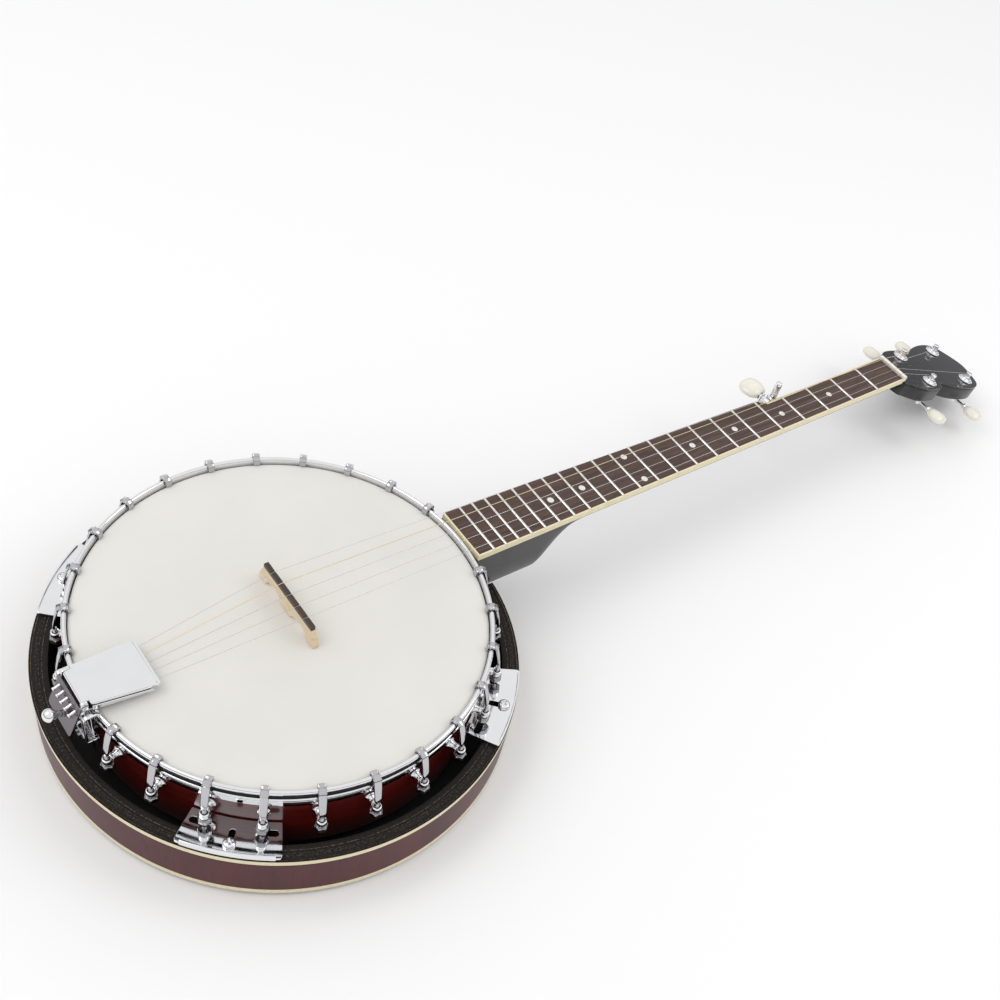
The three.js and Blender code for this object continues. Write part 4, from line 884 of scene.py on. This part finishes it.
# ---- headstock -------------------------------------------------------------------------
# The neck's wood widens into a double-curved head, faced with a thin sheet of hardwood and
# buffed to a deep black gloss; it leans back so that the strings bear on the nut.
HEADSTOCK_DROP = 5.4
HEADSTOCK = (NECK @ Matrix.Translation((BOARD + NUT_THICKNESS, 0, -HEADSTOCK_DROP))
             @ Matrix.Rotation(HEADSTOCK_LEAN, 4, "Y"))
head_half = np.array([
    [0, 16.0], [8, 19.4], [16, 25.4], [24, 29], [32, 30.2], [46, 29.9], [54.5, 29.2],
    [58.5, 23.6], [62, 22.4], [66, 24.6], [76, 29.6], [88, 32.9], [101, 34.8], [112, 34.8],
    [120, 33], [127, 28.6], [132, 19.5], [136.4, 9], [138.5, 0],
])
head_edge = eased(np.concatenate([head_half * [1, -1], head_half[-2::-1]]), 99.0, 7)
wood_part = flat_part([head_edge], 12.4, 0.7)
face_part = flat_part([head_edge], 1.6, 0.45)
gloss_black = finish("gloss_black_lacquer", (0.010, 0.010, 0.011), (0.014, 0.014, 0.016), 0.03, 0.06, 1.0,
                     relief=1e-7, coat=0.5)
piece("headstock_wood", [placed(wood_part, HEADSTOCK @ Matrix.Translation((0, 0, -8.1)))], satin_black,
      sharp=30)
piece("headstock_face", [placed(face_part, HEADSTOCK @ Matrix.Translation((0, 0, -0.8)))], gloss_black,
      replaces=["headstock_veneer"], sharp=30)

# ---- fingerboard -----------------------------------------------------------------------
# Rosewood, bound in cream celluloid, with twenty-two nickel frets hammered into it and pearl
# dots let in level with its face.
rosewood = wooden("oiled_rosewood", (11, 330, 330), (0.110, 0.058, 0.040), (0.046, 0.023, 0.017),
                  (0.016, 0.008, 0.006), 0.50, 0.0, 4e-5)
dressed("fingerboard", rosewood)
dressed("fingerboard_binding", cream)


def bar_across(profile, lows, highs, eases=(0.0, 0.5), inset=0.35):
    """A closed X-Z profile carried across Y from one place to another, drawn in towards its middle
    at both ends."""
    profile = np.asarray(profile, float)
    middle = profile.mean(0)
    rows = []
    for place, shrink in ((lows + eases[0], inset), (lows + eases[1], 0), (highs - eases[1], 0),
                          (highs - eases[0], inset)):
        ring = middle + (profile - middle) * (1 - shrink)
        rows.append(np.stack([ring[:, 0], np.full(len(ring), place), ring[:, 1]], -1))
    return skin(rows)


nickel = finish("worn_nickel", (0.93, 0.91, 0.87), (0.84, 0.81, 0.75), 0.12, 0.24, 3.0, metal=1.0,
                relief=1e-6)
FRET_HALF = 1.15
crown = [[-FRET_HALF, 0.0], [FRET_HALF, 0.0], [FRET_HALF, 0.25]]
crown += [[FRET_HALF * math.cos(a), 0.25 + math.sin(a)] for a in np.linspace(0.2, math.pi - 0.2, 9)]
crown += [[-FRET_HALF, 0.25]]
fret_parts = []
for fret in range(1, 23):
    x = fret_place(fret)
    bar = bar_across(np.array(crown) + [x, 0], -treble_half(x) + 0.3, bass_half(x) - 0.3)
    fret_parts.append(placed(bar, NECK))
piece("nickel_frets", fret_parts, nickel, replaces=["frets"], sharp=40)

pearl_shell = finish("pearl_shell", (0.90, 0.88, 0.82), (0.72, 0.76, 0.74), 0.12, 0.22, 4.0, relief=1e-6,
                     coat=0.6)
dot = turned(np.array([[0.1, -0.6], [2.5, -0.6], [2.7, -0.4], [2.7, 0.02], [2.6, 0.07], [0.1, 0.08]]), 36)
dots = []
for fret in (3, 5, 7, 9, 12, 15, 17):
    x = (fret_place(fret - 1) + fret_place(fret)) / 2
    middle = (bass_half(x) - treble_half(x)) / 2
    places = (-13.4, 13.4) if fret == 12 else (0,)
    dots += [placed(skin(dot + np.array([x, middle + y, 0])), NECK) for y in places]
piece("pearl_dots", dots, pearl_shell, sharp=30)

# ---- nut and the fifth string's pip ----------------------------------------------------
# Both are bone, filed to a rounded top, with a slot for each string.
bone = finish("polished_bone", (0.92, 0.90, 0.84), (0.84, 0.80, 0.70), 0.25, 0.38, 4.0, relief=3e-6)
NUT_SPACING = 7.75
NUT_STRINGS = np.array([-1.5, -0.5, 0.5, 1.5]) * NUT_SPACING + 0.4
across = np.concatenate([[-16.5], np.linspace(-16.3, 15.8, 161), [16.0]])
slots = np.exp(-(((across[:, None] - NUT_STRINGS[None, :]) / 0.42) ** 4)).sum(1)
nut_profile = eased(np.array([
    [0.3, -3.7], [5.0, -3.7], [5.0, 1.6], [3.4, 2.4], [0.6, 2.4], [0.3, 2.0],
]), 0.6, 4)
dip = np.where(nut_profile[None, :, 1] > 1.4, slots[:, None] * 0.85, 0)
shrink = np.where((np.arange(len(across)) % (len(across) - 1)) == 0, 0.93, 1.0)[:, None]
nut_middle = nut_profile.mean(0)
nut_rows = np.stack(np.broadcast_arrays(
    BOARD + nut_middle[0] + (nut_profile[None, :, 0] - nut_middle[0]) * shrink,
    across[:, None],
    nut_middle[1] + (nut_profile[None, :, 1] - nut_middle[1]) * shrink - dip,
), -1)
piece("slotted_nut", [placed(skin(nut_rows), NECK)], bone, replaces=["nut"], sharp=40)

PIP_X, PIP_Y = fret_place(5) + 6, 16.1
pip_rows = turned(eased(np.array([[0.1, 0.3], [1.8, 0.3], [1.7, 1.4], [1.4, 2.9], [0.1, 3.0]]), 0.3, 4,
                        closed=False), 40)
pip_rows[..., 2] -= np.where(pip_rows[..., 2] > 1.6, 1.15 * np.exp(-((pip_rows[..., 1] / 0.45) ** 4)), 0)
piece("drone_string_pip", [placed(skin(pip_rows + np.array([PIP_X, PIP_Y, 0])), NECK)], bone,
      replaces=["fifth_string_pip"])

# ---- headstock tuners ------------------------------------------------------------------
# Guitar-style machines: a chromed post stands in a stepped bushing, its gear and worm run in a
# housing screwed to the back, and a pearl-plastic button turns the worm's shaft.


def block(x0, x1, y0, y1, z0, z1, ease=0.3, corner=0.5):
    """A box with rounded upright corners and eased upper and lower edges."""
    outline = eased(np.array([[x0, y0], [x1, y0], [x1, y1], [x0, y1]], float), corner, 4)
    middle = outline.mean(0)
    span = np.array([x1 - x0, y1 - y0]) / 2
    rows = []
    for z, inset in ((z0, ease), (z0 + ease, 0), (z1 - ease, 0), (z1, ease)):
        ring = middle + (outline - middle) * (1 - inset / span)
        rows.append(np.c_[ring, np.full(len(ring), z)])
    return skin(rows)


def turned_along(profile, start, end, sides=40):
    """A turned shape whose axis runs from one point towards another; heights are along it."""
    start, end = np.asarray(start, float), np.asarray(end, float)
    way = (end - start) / np.linalg.norm(end - start)
    side = np.cross(way, [0.3, 0.2, 1.0] if abs(way[2]) < 0.9 else [1.0, 0.1, 0])
    side /= np.linalg.norm(side)
    rows = turned(profile, sides)
    over = np.cross(way, side)
    return rows[..., :1] * side + rows[..., 1:2] * over + rows[..., 2:] * way + start


def oval_button(middle, half_long, half_wide, half_thick, side):
    """A tuner button: an oval section that swells from the collar as a power of a sine, and closes
    more bluntly at its outer end."""
    t = np.linspace(0.02, math.pi - 0.02, 40)[:, None]
    a = circle(48)[None, :]
    blunt = np.sin(t) ** np.where(t < math.pi / 2, 0.66, 0.60)
    swell = blunt * (1 - 0.05 * np.cos(t))
    x = half_wide * swell * np.cos(a)
    z = half_thick * swell * np.sin(a) * (1 - 0.25 * np.sin(t) * np.cos(a) ** 4)
    y = -half_long * np.cos(t) * side
    return skin(np.stack(np.broadcast_arrays(x, y, z), -1) + np.asarray(middle, float))


cream_pearl = finish("cream_pearl_plastic", (0.92, 0.89, 0.80), (0.84, 0.79, 0.66), 0.10, 0.20, 5.0,
                     relief=1e-6, coat=0.8)
POST_WAIST = 5.3            # the string's seat on a post
GEAR_TEETH = 14
bushing_profile = eased(np.array([
    [3.4, -9], [4.5, -9], [4.5, 0.3], [7.6, 0.3], [7.6, 1.1], [6.4, 1.5], [6.2, 2.2], [4.7, 2.6], [4.5, 3.4],
    [3.4, 3.4],
]), 0.25, 3)
post_profile = eased(np.array([
    [0.1, -19.5], [3.0, -19.5], [3.0, 3.6], [2.9, 4.2], [2.3, 4.8], [2.3, 5.9], [3.0, 6.8], [3.0, 8.0],
    [2.3, 8.6], [0.1, 8.7],
]), 0.35, 4, closed=False)
gear_angle = circle(96)
gear_radius = 4.2 + 0.35 * np.clip(2.5 * np.cos(GEAR_TEETH * gear_angle), -1, 1)
gear = np.stack([
    np.stack([gear_radius * np.cos(gear_angle), gear_radius * np.sin(gear_angle), np.full(96, z)], -1)
    for z in (-19.4, -16.3)
])
dome_screw = eased(np.array([
    [0.1, -17.0], [1.2, -16.9], [2.1, -16.2], [2.1, -15.7], [0.1, -15.7],
]), 0.3, 4, closed=False)
WORM_W = -17.8              # worm's middle, under the headstock's face
for number, (u, v, reach) in enumerate(((42.6, -19.5, 28.5), (42.6, 19.5, 28.5),
                                        (110.1, -22.5, 29.5), (110.1, 22.5, 29.5)), 1):
    side = math.copysign(1, v)
    worm_u = u + side * 6.3
    at_post = HEADSTOCK @ Matrix.Translation((u, v, 0))
    low_u, high_u = min(u, worm_u) - 7, max(u, worm_u) + 7
    housing = [block(low_u, high_u, v - 7.4, v + 7.4, -15.8, -14.6, 0.3, 3.0)]
    housing += [block(worm_u - 3, worm_u + 3, v + end * 5.6 - 1, v + end * 5.6 + 1, -20.8, -15, 0.4, 0.8)
                for end in (-1, 1)]
    housing += [skin(upright(dome_screw, spot, v - side * 5.0)) for spot in (low_u + 2.8, high_u - 2.8)]
    piece(f"tuner_back_housing_{number}", [placed(part, HEADSTOCK) for part in housing], chrome,
          replaces=[f"tuner_housing_{number}"])
    piece(f"stepped_bushing_{number}", [placed(skin(turned(bushing_profile, 56), True), at_post)], chrome,
          replaces=[f"tuner_bushing_{number}"])
    piece(f"capstan_post_{number}",
          [placed(skin(turned(post_profile, 48)), at_post), placed(skin(gear), at_post)], chrome,
          f"post_{number}", replaces=[f"tuner_post_{number}"])
    tip = v + side * reach
    shaft_profile = eased(np.array([
        [0.1, 0], [1.4, 0], [1.4, reach - 6], [2.6, reach - 5], [2.6, reach - 1], [0.1, reach],
    ]), 0.3, 3, closed=False)
    shaft = turned_along(shaft_profile, (worm_u, v - side * 7.4, WORM_W), (worm_u, tip, WORM_W))
    ribs = np.linspace(0, 1, 60)
    worm_profile = np.c_[1.35 + 0.5 * np.abs((ribs * 7) % 1 - 0.5), ribs * 8.4 - 4.2]
    worm_profile[[0, -1], 0] = 0.1
    worm = turned_along(worm_profile, (worm_u, v, WORM_W), (worm_u, v + 1, WORM_W), 24)
    piece(f"worm_shaft_{number}", [placed(skin(shaft), HEADSTOCK), placed(skin(worm), HEADSTOCK)], chrome,
          f"button_{number}", replaces=[f"tuner_button_{number}"])
    button = oval_button((worm_u, tip, WORM_W), 9.4, 9.8, 4.8, side)
    piece(f"pearl_tuner_button_{number}", [placed(button, HEADSTOCK)], cream_pearl,
          f"button_{number}", replaces=[f"tuner_button_{number}"])

# ---- fifth-string tuner ----------------------------------------------------------------
# A small geared peg let into the neck's drone side: an open plate with two ears holds the worm,
# a round gear turns the post, and its button has a ribbed metal collar.
FIFTH_X, FIFTH_Y = fret_place(4) - 2, 20.0
WORM_X = FIFTH_X - 8.1
WORM_Z = -5.9
inner = beside_drone(WORM_X) + 0.6
outer = FIFTH_Y + 6.5
fifth_housing = [
    block(FIFTH_X - 12.6, FIFTH_X - 3.4, 6, inner + 1, -11, -9, 0.2, 0.4),
    block(WORM_X - 4, FIFTH_X + 6.5, inner, outer, -11, -9, 0.35, 3.0),
    block(WORM_X - 3.2, WORM_X + 3.2, inner, inner + 1.8, -10.8, WORM_Z + 3.4, 0.5, 0.6),
    block(WORM_X - 3.2, WORM_X + 3.2, outer - 1.8, outer, -10.8, WORM_Z + 3.4, 0.5, 0.6),
]
piece("fifth_tuner_plate", [placed(part, NECK) for part in fifth_housing], chrome,
      replaces=["fifth_tuner_housing"])
fifth_post = turned(eased(np.array([
    [0.1, -12], [2, -12], [2, -8.7], [3.2, -8.6], [3.2, 1], [2.5, 2], [2.5, 4], [3.2, 5], [3.2, 9.4],
    [2.6, 11.8], [0.1, 13.0],
]), 0.5, 4, closed=False), 48) + np.array([FIFTH_X, FIFTH_Y, 0])
fifth_gear_radius = 4.8 + 0.4 * np.clip(2.5 * np.cos(16 * gear_angle), -1, 1)
fifth_gear = np.stack([
    np.stack([FIFTH_X + fifth_gear_radius * np.cos(gear_angle),
              FIFTH_Y + fifth_gear_radius * np.sin(gear_angle), np.full(96, z)], -1)
    for z in (-8.6, -4.7)
])
piece("fifth_tuner_peg", [placed(skin(fifth_post), NECK), placed(skin(fifth_gear), NECK)], chrome,
      "fifth_post", replaces=["fifth_tuner_post"])
run = np.linspace(0, 1, 90)
collar = 3.4 + 0.35 * np.cos(run * 2 * math.pi * 4)
collar_profile = np.c_[np.where((run == 0) | (run == 1), 0.1, collar),
                       outer + 0.4 + run * (FIFTH_Y + 11 - outer)]
shaft_profile = eased(np.array([
    [0.1, inner - 0.4], [1.4, inner - 0.3], [1.4, inner + 2.1], [2.5, inner + 2.5],
    [2.5, outer - 2.5], [1.4, outer - 2.1], [1.4, outer + 8], [0.1, outer + 8],
]), 0.3, 3, closed=False)
fifth_shaft = [turned_along(profile, (WORM_X, 0, WORM_Z), (WORM_X, 1, WORM_Z), 44)
               for profile in (collar_profile, shaft_profile)]
piece("fifth_tuner_shaft", [placed(skin(part), NECK) for part in fifth_shaft], chrome,
      "fifth_button", replaces=["fifth_tuner_button"])
fifth_button = oval_button((WORM_X, FIFTH_Y + 18, WORM_Z), 10.6, 12.0, 5.6, 1)
piece("fifth_pearl_button", [placed(fifth_button, NECK)], cream_pearl, "fifth_button",
      replaces=["fifth_tuner_button"])

# ---- tailpiece -------------------------------------------------------------------------
# Pressed and chromed brass.  A hanger bolted to the rim loops over the hoop; the body's leaning
# end plate has five pegs for the string loops and a ball-ended screw that sets how far it bears
# down, and a hinged cover hides the strings' ends.


def band(path, low, high, thickness, corner=0.3):
    """A strap along an X-Z path, as wide as from one Y to another."""
    rows = strap(eased(np.asarray(path, float), 2.4, 7, closed=False), high - low, thickness, 0.12, corner)
    return skin(rows + np.array([0, (low + high) / 2, 0]))


METRES = Matrix.Scale(MM, 4)
hanger = [
    band([[-139.9, 86.2], [-139.9, 90.0], [-149.9, 90.0], [-150.2, 65.3], [-142.4, 65.3]], low, high, 1.4)
    for low, high in ((-21.1, -18.3), (18.3, 21.1))
]
hanger += [block(-150.6, -142.9, -21.4, 21.4, 64.5, 66, 0.3, 1.5),
           block(-143.6, -141.9, -12, 12, 39.2, 76.3, 0.4, 0.5)]
piece("tailpiece_hanger_strap", [placed(part, METRES) for part in hanger], chrome,
      replaces=["tailpiece_hanger"])

TAIL_X = -148.0
TAIL_TOP = 98.2
TAIL_LEAN = math.radians(22)
PEG_SPACING = 5.6
SCREW_DOWN = -24
END_PLATE = METRES @ Matrix.Translation((TAIL_X, 0, TAIL_TOP)) @ Matrix.Rotation(TAIL_LEAN, 4, "Y")
end_outline = eased(np.array([[-15.6, -29.5], [15.6, -29.5], [15.6, -4.6], [-15.6, -4.6]]),
                    [2.5, 2.5, 0.6, 0.6], 6)
standing = Matrix(((0, 0, 1, 0.75), (1, 0, 0, 0), (0, 1, 0, 0), (0, 0, 0, 1)))
screw_hole = polar(2.15, np.degrees(circle(28))) + [0, SCREW_DOWN]
end_plate = placed(flat_part([end_outline, screw_hole], 1.5, 0.35), END_PLATE @ standing)
peg_profile = eased(np.array([
    [0.1, 0], [0.95, 0], [0.95, 4.4], [1.35, 4.7], [1.35, 5.6], [0.1, 6.0],
]), 0.3, 4, closed=False)
pegs = []
for step in range(-2, 3):
    peg = turned_along(peg_profile, (0.6, step * PEG_SPACING, -9.4), (-2.9, step * PEG_SPACING, -13.2), 28)
    pegs.append(placed(skin(peg), END_PLATE))


def tapering(rear, front, half_rear, half_front, z_rear, z_front, thickness, round_rear, round_front,
             crown=0.0):
    """A thin sheet over a four-cornered outline with rounded corners: its height runs evenly from
    rear to front, and it is crowned across by (1 - (y / half)^4)."""
    outline = eased(np.array([
        [rear, -half_rear], [front, -half_front], [front, half_front], [rear, half_rear],
    ]), [round_rear, round_front, round_front, round_rear], 9)
    middle = outline.mean(0)
    rings = []
    for share, level in ((0.985, 0.0), (1.0, 0.3), (1.0, 0.7), (0.985, 1.0),
                         (0.9, 1.0), (0.6, 1.0), (0.3, 1.0)):
        ring = middle + (outline - middle) * share
        along = (ring[:, 0] - rear) / (front - rear)
        half = half_rear + (half_front - half_rear) * along
        lift = crown * (1 - np.clip(np.abs(ring[:, 1]) / half, 0, 1) ** 4)
        rings.append(np.c_[ring, z_rear + (z_front - z_rear) * along + thickness * level + lift])
    return skin(rings)


smoked = finish("smoked_chrome", (0.20, 0.18, 0.19), (0.15, 0.135, 0.145), 0.10, 0.18, 2.0, metal=1.0,
                relief=5e-7)
piece("tailpiece_end_plate", [end_plate], smoked, replaces=["tailpiece_body"], sharp=30)
# A near-black sheet inside the tailpiece frame: painted shade laid over the frame's chrome floor under the
# cover.
painted_shade_floor = tapering(-149.6, -104.4, 14.6, 18.1, 90.3, 88.5, 1.7, 0.8, 3.0)
piece("tailpiece_painted_shade_floor", [placed(painted_shade_floor, METRES)], black_stain_and_painted_shade, sharp=30)
body = [*pegs, placed(tapering(-150, -104, 15, 18.5, 90.2, 88.4, 1.4, 0.8, 3.0), METRES)]
for side in (-1, 1):
    wall_x = np.linspace(-142, -104, 16)
    share = (wall_x + 142) / 38
    outside = side * (15.8 + 3.4 * share)
    low, high = 89.4 - 1.7 * share, 93.6 - 3.3 * share
    ring = [np.stack([wall_x, outside - side * inset, height], -1)
            for inset, height in ((0.0, low + 0.4), (0.0, high - 0.3), (0.3, high), (0.8, high),
                                  (1.1, high - 0.3), (1.1, low + 0.4), (0.8, low), (0.4, low))]
    body.append(placed(skin(np.stack(ring, 1)), METRES))
    lug_outline = eased(np.array([[-149.4, 91], [-144.2, 91], [-144.2, 98.3], [-148.4, 98.3]]), 1.2, 6)
    lug = flat_part([lug_outline], 2.0, 0.25)
    across_y = Matrix(((1, 0, 0, 0), (0, 0, -1, side * 14.0), (0, 1, 0, 0), (0, 0, 0, 1)))
    body.append(placed(lug, METRES @ across_y))
piece("tailpiece_frame", body, chrome, replaces=["tailpiece_body"])

sheet_top = tapering(-147.6, -100.6, 12.7, 19.4, 97.1, 92.8, 1.15, 0.6, 3.4, 0.12)
full_top = tapering(-142.9, -100.6, 16.0, 19.4, 96.7, 92.8, 1.17, 1.0, 3.4, 0.12)
front_lip = tapering(-104.5, -98.9, 18.9, 20.0, 92.9, 91.9, 1.2, 0.8, 2.6)
bead_x = np.linspace(-142.7, -104.5, 24)
share = (bead_x - bead_x[0]) / (bead_x[-1] - bead_x[0])
a = circle(20)[None, :]
taper = 0.7 * np.sin(np.clip(share * 12, 0, 1) * math.pi / 2) * np.clip((1 - share) * 12, 0.1, 1)
taper = taper[:, None]
rolled = []
for side in (-1, 1):
    rolled.append(placed(skin(np.stack(np.broadcast_arrays(
        bead_x[:, None],
        (side * (15.9 + 3.1 * share))[:, None] + taper * np.cos(a),
        (96.6 - 3.7 * share)[:, None] + taper * np.sin(a),
    ), -1)), METRES))
PIN_X, PIN_Z = -146.2, 96.4
knuckle = turned_along(eased(np.array([[0.9, -12.6], [1.8, -12.6], [1.8, 12.6], [0.9, 12.6]]), 0.2, 3),
                       (PIN_X, 0, PIN_Z), (PIN_X, 1, PIN_Z), 40)
cover_parts = [placed(part, METRES) for part in (sheet_top, full_top, front_lip, skin(knuckle, True))]
piece("tailpiece_hinged_cover", cover_parts + rolled, chrome, "tailpiece_lid",
      replaces=["tailpiece_cover"])

BALL = 4.6
ball_profile = [[BALL * math.sin(t), -BALL * math.cos(t)] for t in np.linspace(0.05, 2.55, 22)]
ball_profile += [[2.3, 4.3], [2.4, 5.4], [1.8, 5.9], [1.75, 19.2], [0.1, 19.4]]
adjuster = turned_along(np.array(ball_profile), (-7.4, 0, SCREW_DOWN), (0, 0, SCREW_DOWN), 48)
piece("tailpiece_ball_screw", [placed(skin(adjuster), END_PLATE)], chrome,
      "tailpiece_adjuster", replaces=["tailpiece_screw"])

# ---- bridge ----------------------------------------------------------------------------
# A three-footed slip of maple, thinner at the top, with a notched ebony cap glued along it; it
# stands loose on the head, held by the strings.
BRIDGE_X = 2.0
standing = METRES @ Matrix(((0, 0, 1, BRIDGE_X), (1, 0, 0, 0), (0, 1, 0, 0), (0, 0, 0, 1)))
FOOT_Z = HEAD_Z + GAP
feet = np.array([
    [-36, FOOT_Z], [-27, FOOT_Z], [-24.75, 89.8], [-18, 92.8], [-9, 90.3], [-5.4, FOOT_Z],
    [5.4, FOOT_Z], [9, 90.3], [18, 92.8], [24.75, 89.8], [27, FOOT_Z], [36, FOOT_Z],
    [36, 88.3], [31.5, 98.7], [-31.5, 98.7], [-36, 88.3],
])
feet_round = [0.5, 0.5, 3, 5, 3, 0.5, 0.5, 3, 5, 3, 0.5, 0.5, 3, 0.8, 0.8, 3]
points, faces = flat_part([eased(feet, feet_round, 7)], 4.9, 0.35)
points[:, 2] *= 1 - 0.22 * (points[:, 1] - HEAD_Z) / 14
maple = wooden("bridge_maple", (60, 14, 60), (0.88, 0.74, 0.54), (0.80, 0.63, 0.42), (0.60, 0.44, 0.27),
               0.42, 0.1, 1e-5)
piece("maple_bridge", [placed((points, faces), standing)], maple,
      replaces=["bridge_body"], sharp=30)
BRIDGE_STRINGS = np.arange(-2, 3) * 10.9
cap_top = np.linspace(31.1, -31.1, 250)
slots = np.exp(-(((cap_top[:, None] - BRIDGE_STRINGS[None, :]) / 0.5) ** 4)).sum(1) * 0.8
cap_edge = np.concatenate([[[-31.4, 99.0], [31.4, 99.0]], np.c_[cap_top, 102.0 - slots]])
ebony = wooden("oiled_ebony", (300, 18, 300), (0.060, 0.036, 0.026), (0.028, 0.018, 0.014),
               (0.012, 0.009, 0.008), 0.38, 0.1, 1e-5)
piece("ebony_bridge_cap", [placed(flat_part([cap_edge], 3.5, 0.15), standing)], ebony,
      replaces=["bridge_cap"], sharp=30)

# ---- strings ---------------------------------------------------------------------------
# Plain steel for four, and bronze wound on a steel core for the lowest; each is looped under the
# cover, stretched over bridge and nut, and wound a few turns round its post.


def tube(path, radius, sides=12):
    """A round wire along a path: a circle in the plane across it at each point."""
    path = np.asarray(path, float)
    way = np.gradient(path, axis=0)
    way /= np.linalg.norm(way, axis=1, keepdims=True)
    side = np.cross(way, [0.0, 0.02, 1.0])
    side /= np.linalg.norm(side, axis=1, keepdims=True)
    over = np.cross(side, way)
    a = circle(sides)[None, :, None]
    return skin(path[:, None] + radius * (np.cos(a) * side[:, None] + np.sin(a) * over[:, None]))


def carried(matrix, points):
    """Points through a matrix, given back in millimetres of the whole banjo."""
    matrix = np.array(matrix, float)
    return (np.asarray(points, float) @ matrix[:3, :3].T + matrix[:3, 3]) / MM


def wound(middle, radius, start, turns, rise, sense):
    """Turns of wire round an upright post: angle runs on as the height falls evenly."""
    t = np.linspace(0, 1, int(turns * 28))
    a = start + sense * t * turns * 2 * math.pi
    x, y, z = middle
    return np.stack([x + radius * np.cos(a), y + radius * np.sin(a), z + rise * t], -1)


steel = finish("plain_steel_wire", (0.76, 0.75, 0.73), (0.62, 0.61, 0.59), 0.20, 0.34, 3.0, metal=1.0,
               relief=1e-7)
bronze, nodes, links, shader = new_material("bronze_wound_wire")
place = nodes.new("ShaderNodeTexCoord").outputs["Object"]
turns = nodes.new("ShaderNodeTexWave")
turns.inputs["Scale"].default_value = 1400
links.new(place, turns.inputs["Vector"])
shade = nodes.new("ShaderNodeValToRGB")
shade.color_ramp.elements[0].color = (0.76, 0.62, 0.38, 1)
shade.color_ramp.elements[1].color = (0.93, 0.83, 0.58, 1)
links.new(turns.outputs[0], shade.inputs[0])
links.new(shade.outputs[0], shader.inputs["Base Color"])
bumped(nodes, links, shader, turns.outputs[0], 4e-5, 0.6)
shader.inputs["Metallic"].default_value = 1.0
shader.inputs["Roughness"].default_value = 0.3

gauges = (0.254, 0.305, 0.406, 0.584, 0.254)
THINNEST = 0.17             # the plain strings are drawn a little thicker than wire of their gauge
posts = ((42.6, -19.5), (110.1, -22.5), (110.1, 22.5), (42.6, 19.5))
for number, gauge in enumerate(gauges, 1):
    radius = max(gauge / 2, THINNEST)
    step = number - 3
    path = [[TAIL_X + 5.2, step * PEG_SPACING, 93.4], [-100.0, step * 7.0, 90.9],
            [BRIDGE_X, BRIDGE_STRINGS[number - 1], 101.4 + radius]]
    if number < 5:
        u, v = posts[number - 1]
        sense = -math.copysign(1, v)
        y = NUT_STRINGS[number - 1]
        path += carried(NECK, [[BOARD, y, 1.7], [BOARD + 5, y, 1.3]]).tolist()
        turns_path = carried(HEADSTOCK, wound((u, v, POST_WAIST + 0.7), 2.35 + radius,
                                              math.copysign(math.pi / 2, -v) - sense * 0.2, 3.4, -1.2, sense))
    else:
        path += carried(NECK, [[PIP_X, PIP_Y, 2.2 + radius]]).tolist()
        turns_path = carried(NECK, wound((FIFTH_X, FIFTH_Y, 3.4), 2.55 + radius, -math.pi / 2 - 0.1,
                                         3.4, -1.0, 1))
    stretch = eased(np.array(path + turns_path[:1].tolist()), 1.2, 5, closed=False)
    wire = placed(tube(np.concatenate([stretch, turns_path[1:]]), radius), METRES)
    piece(f"stretched_string_{number}", [wire], bronze if number == 4 else steel,
          replaces=[f"string_{number}"])

# ---- sizes and closing -----------------------------------------------------------------
# The finished model's box, over every shown piece but the floor.
low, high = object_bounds()
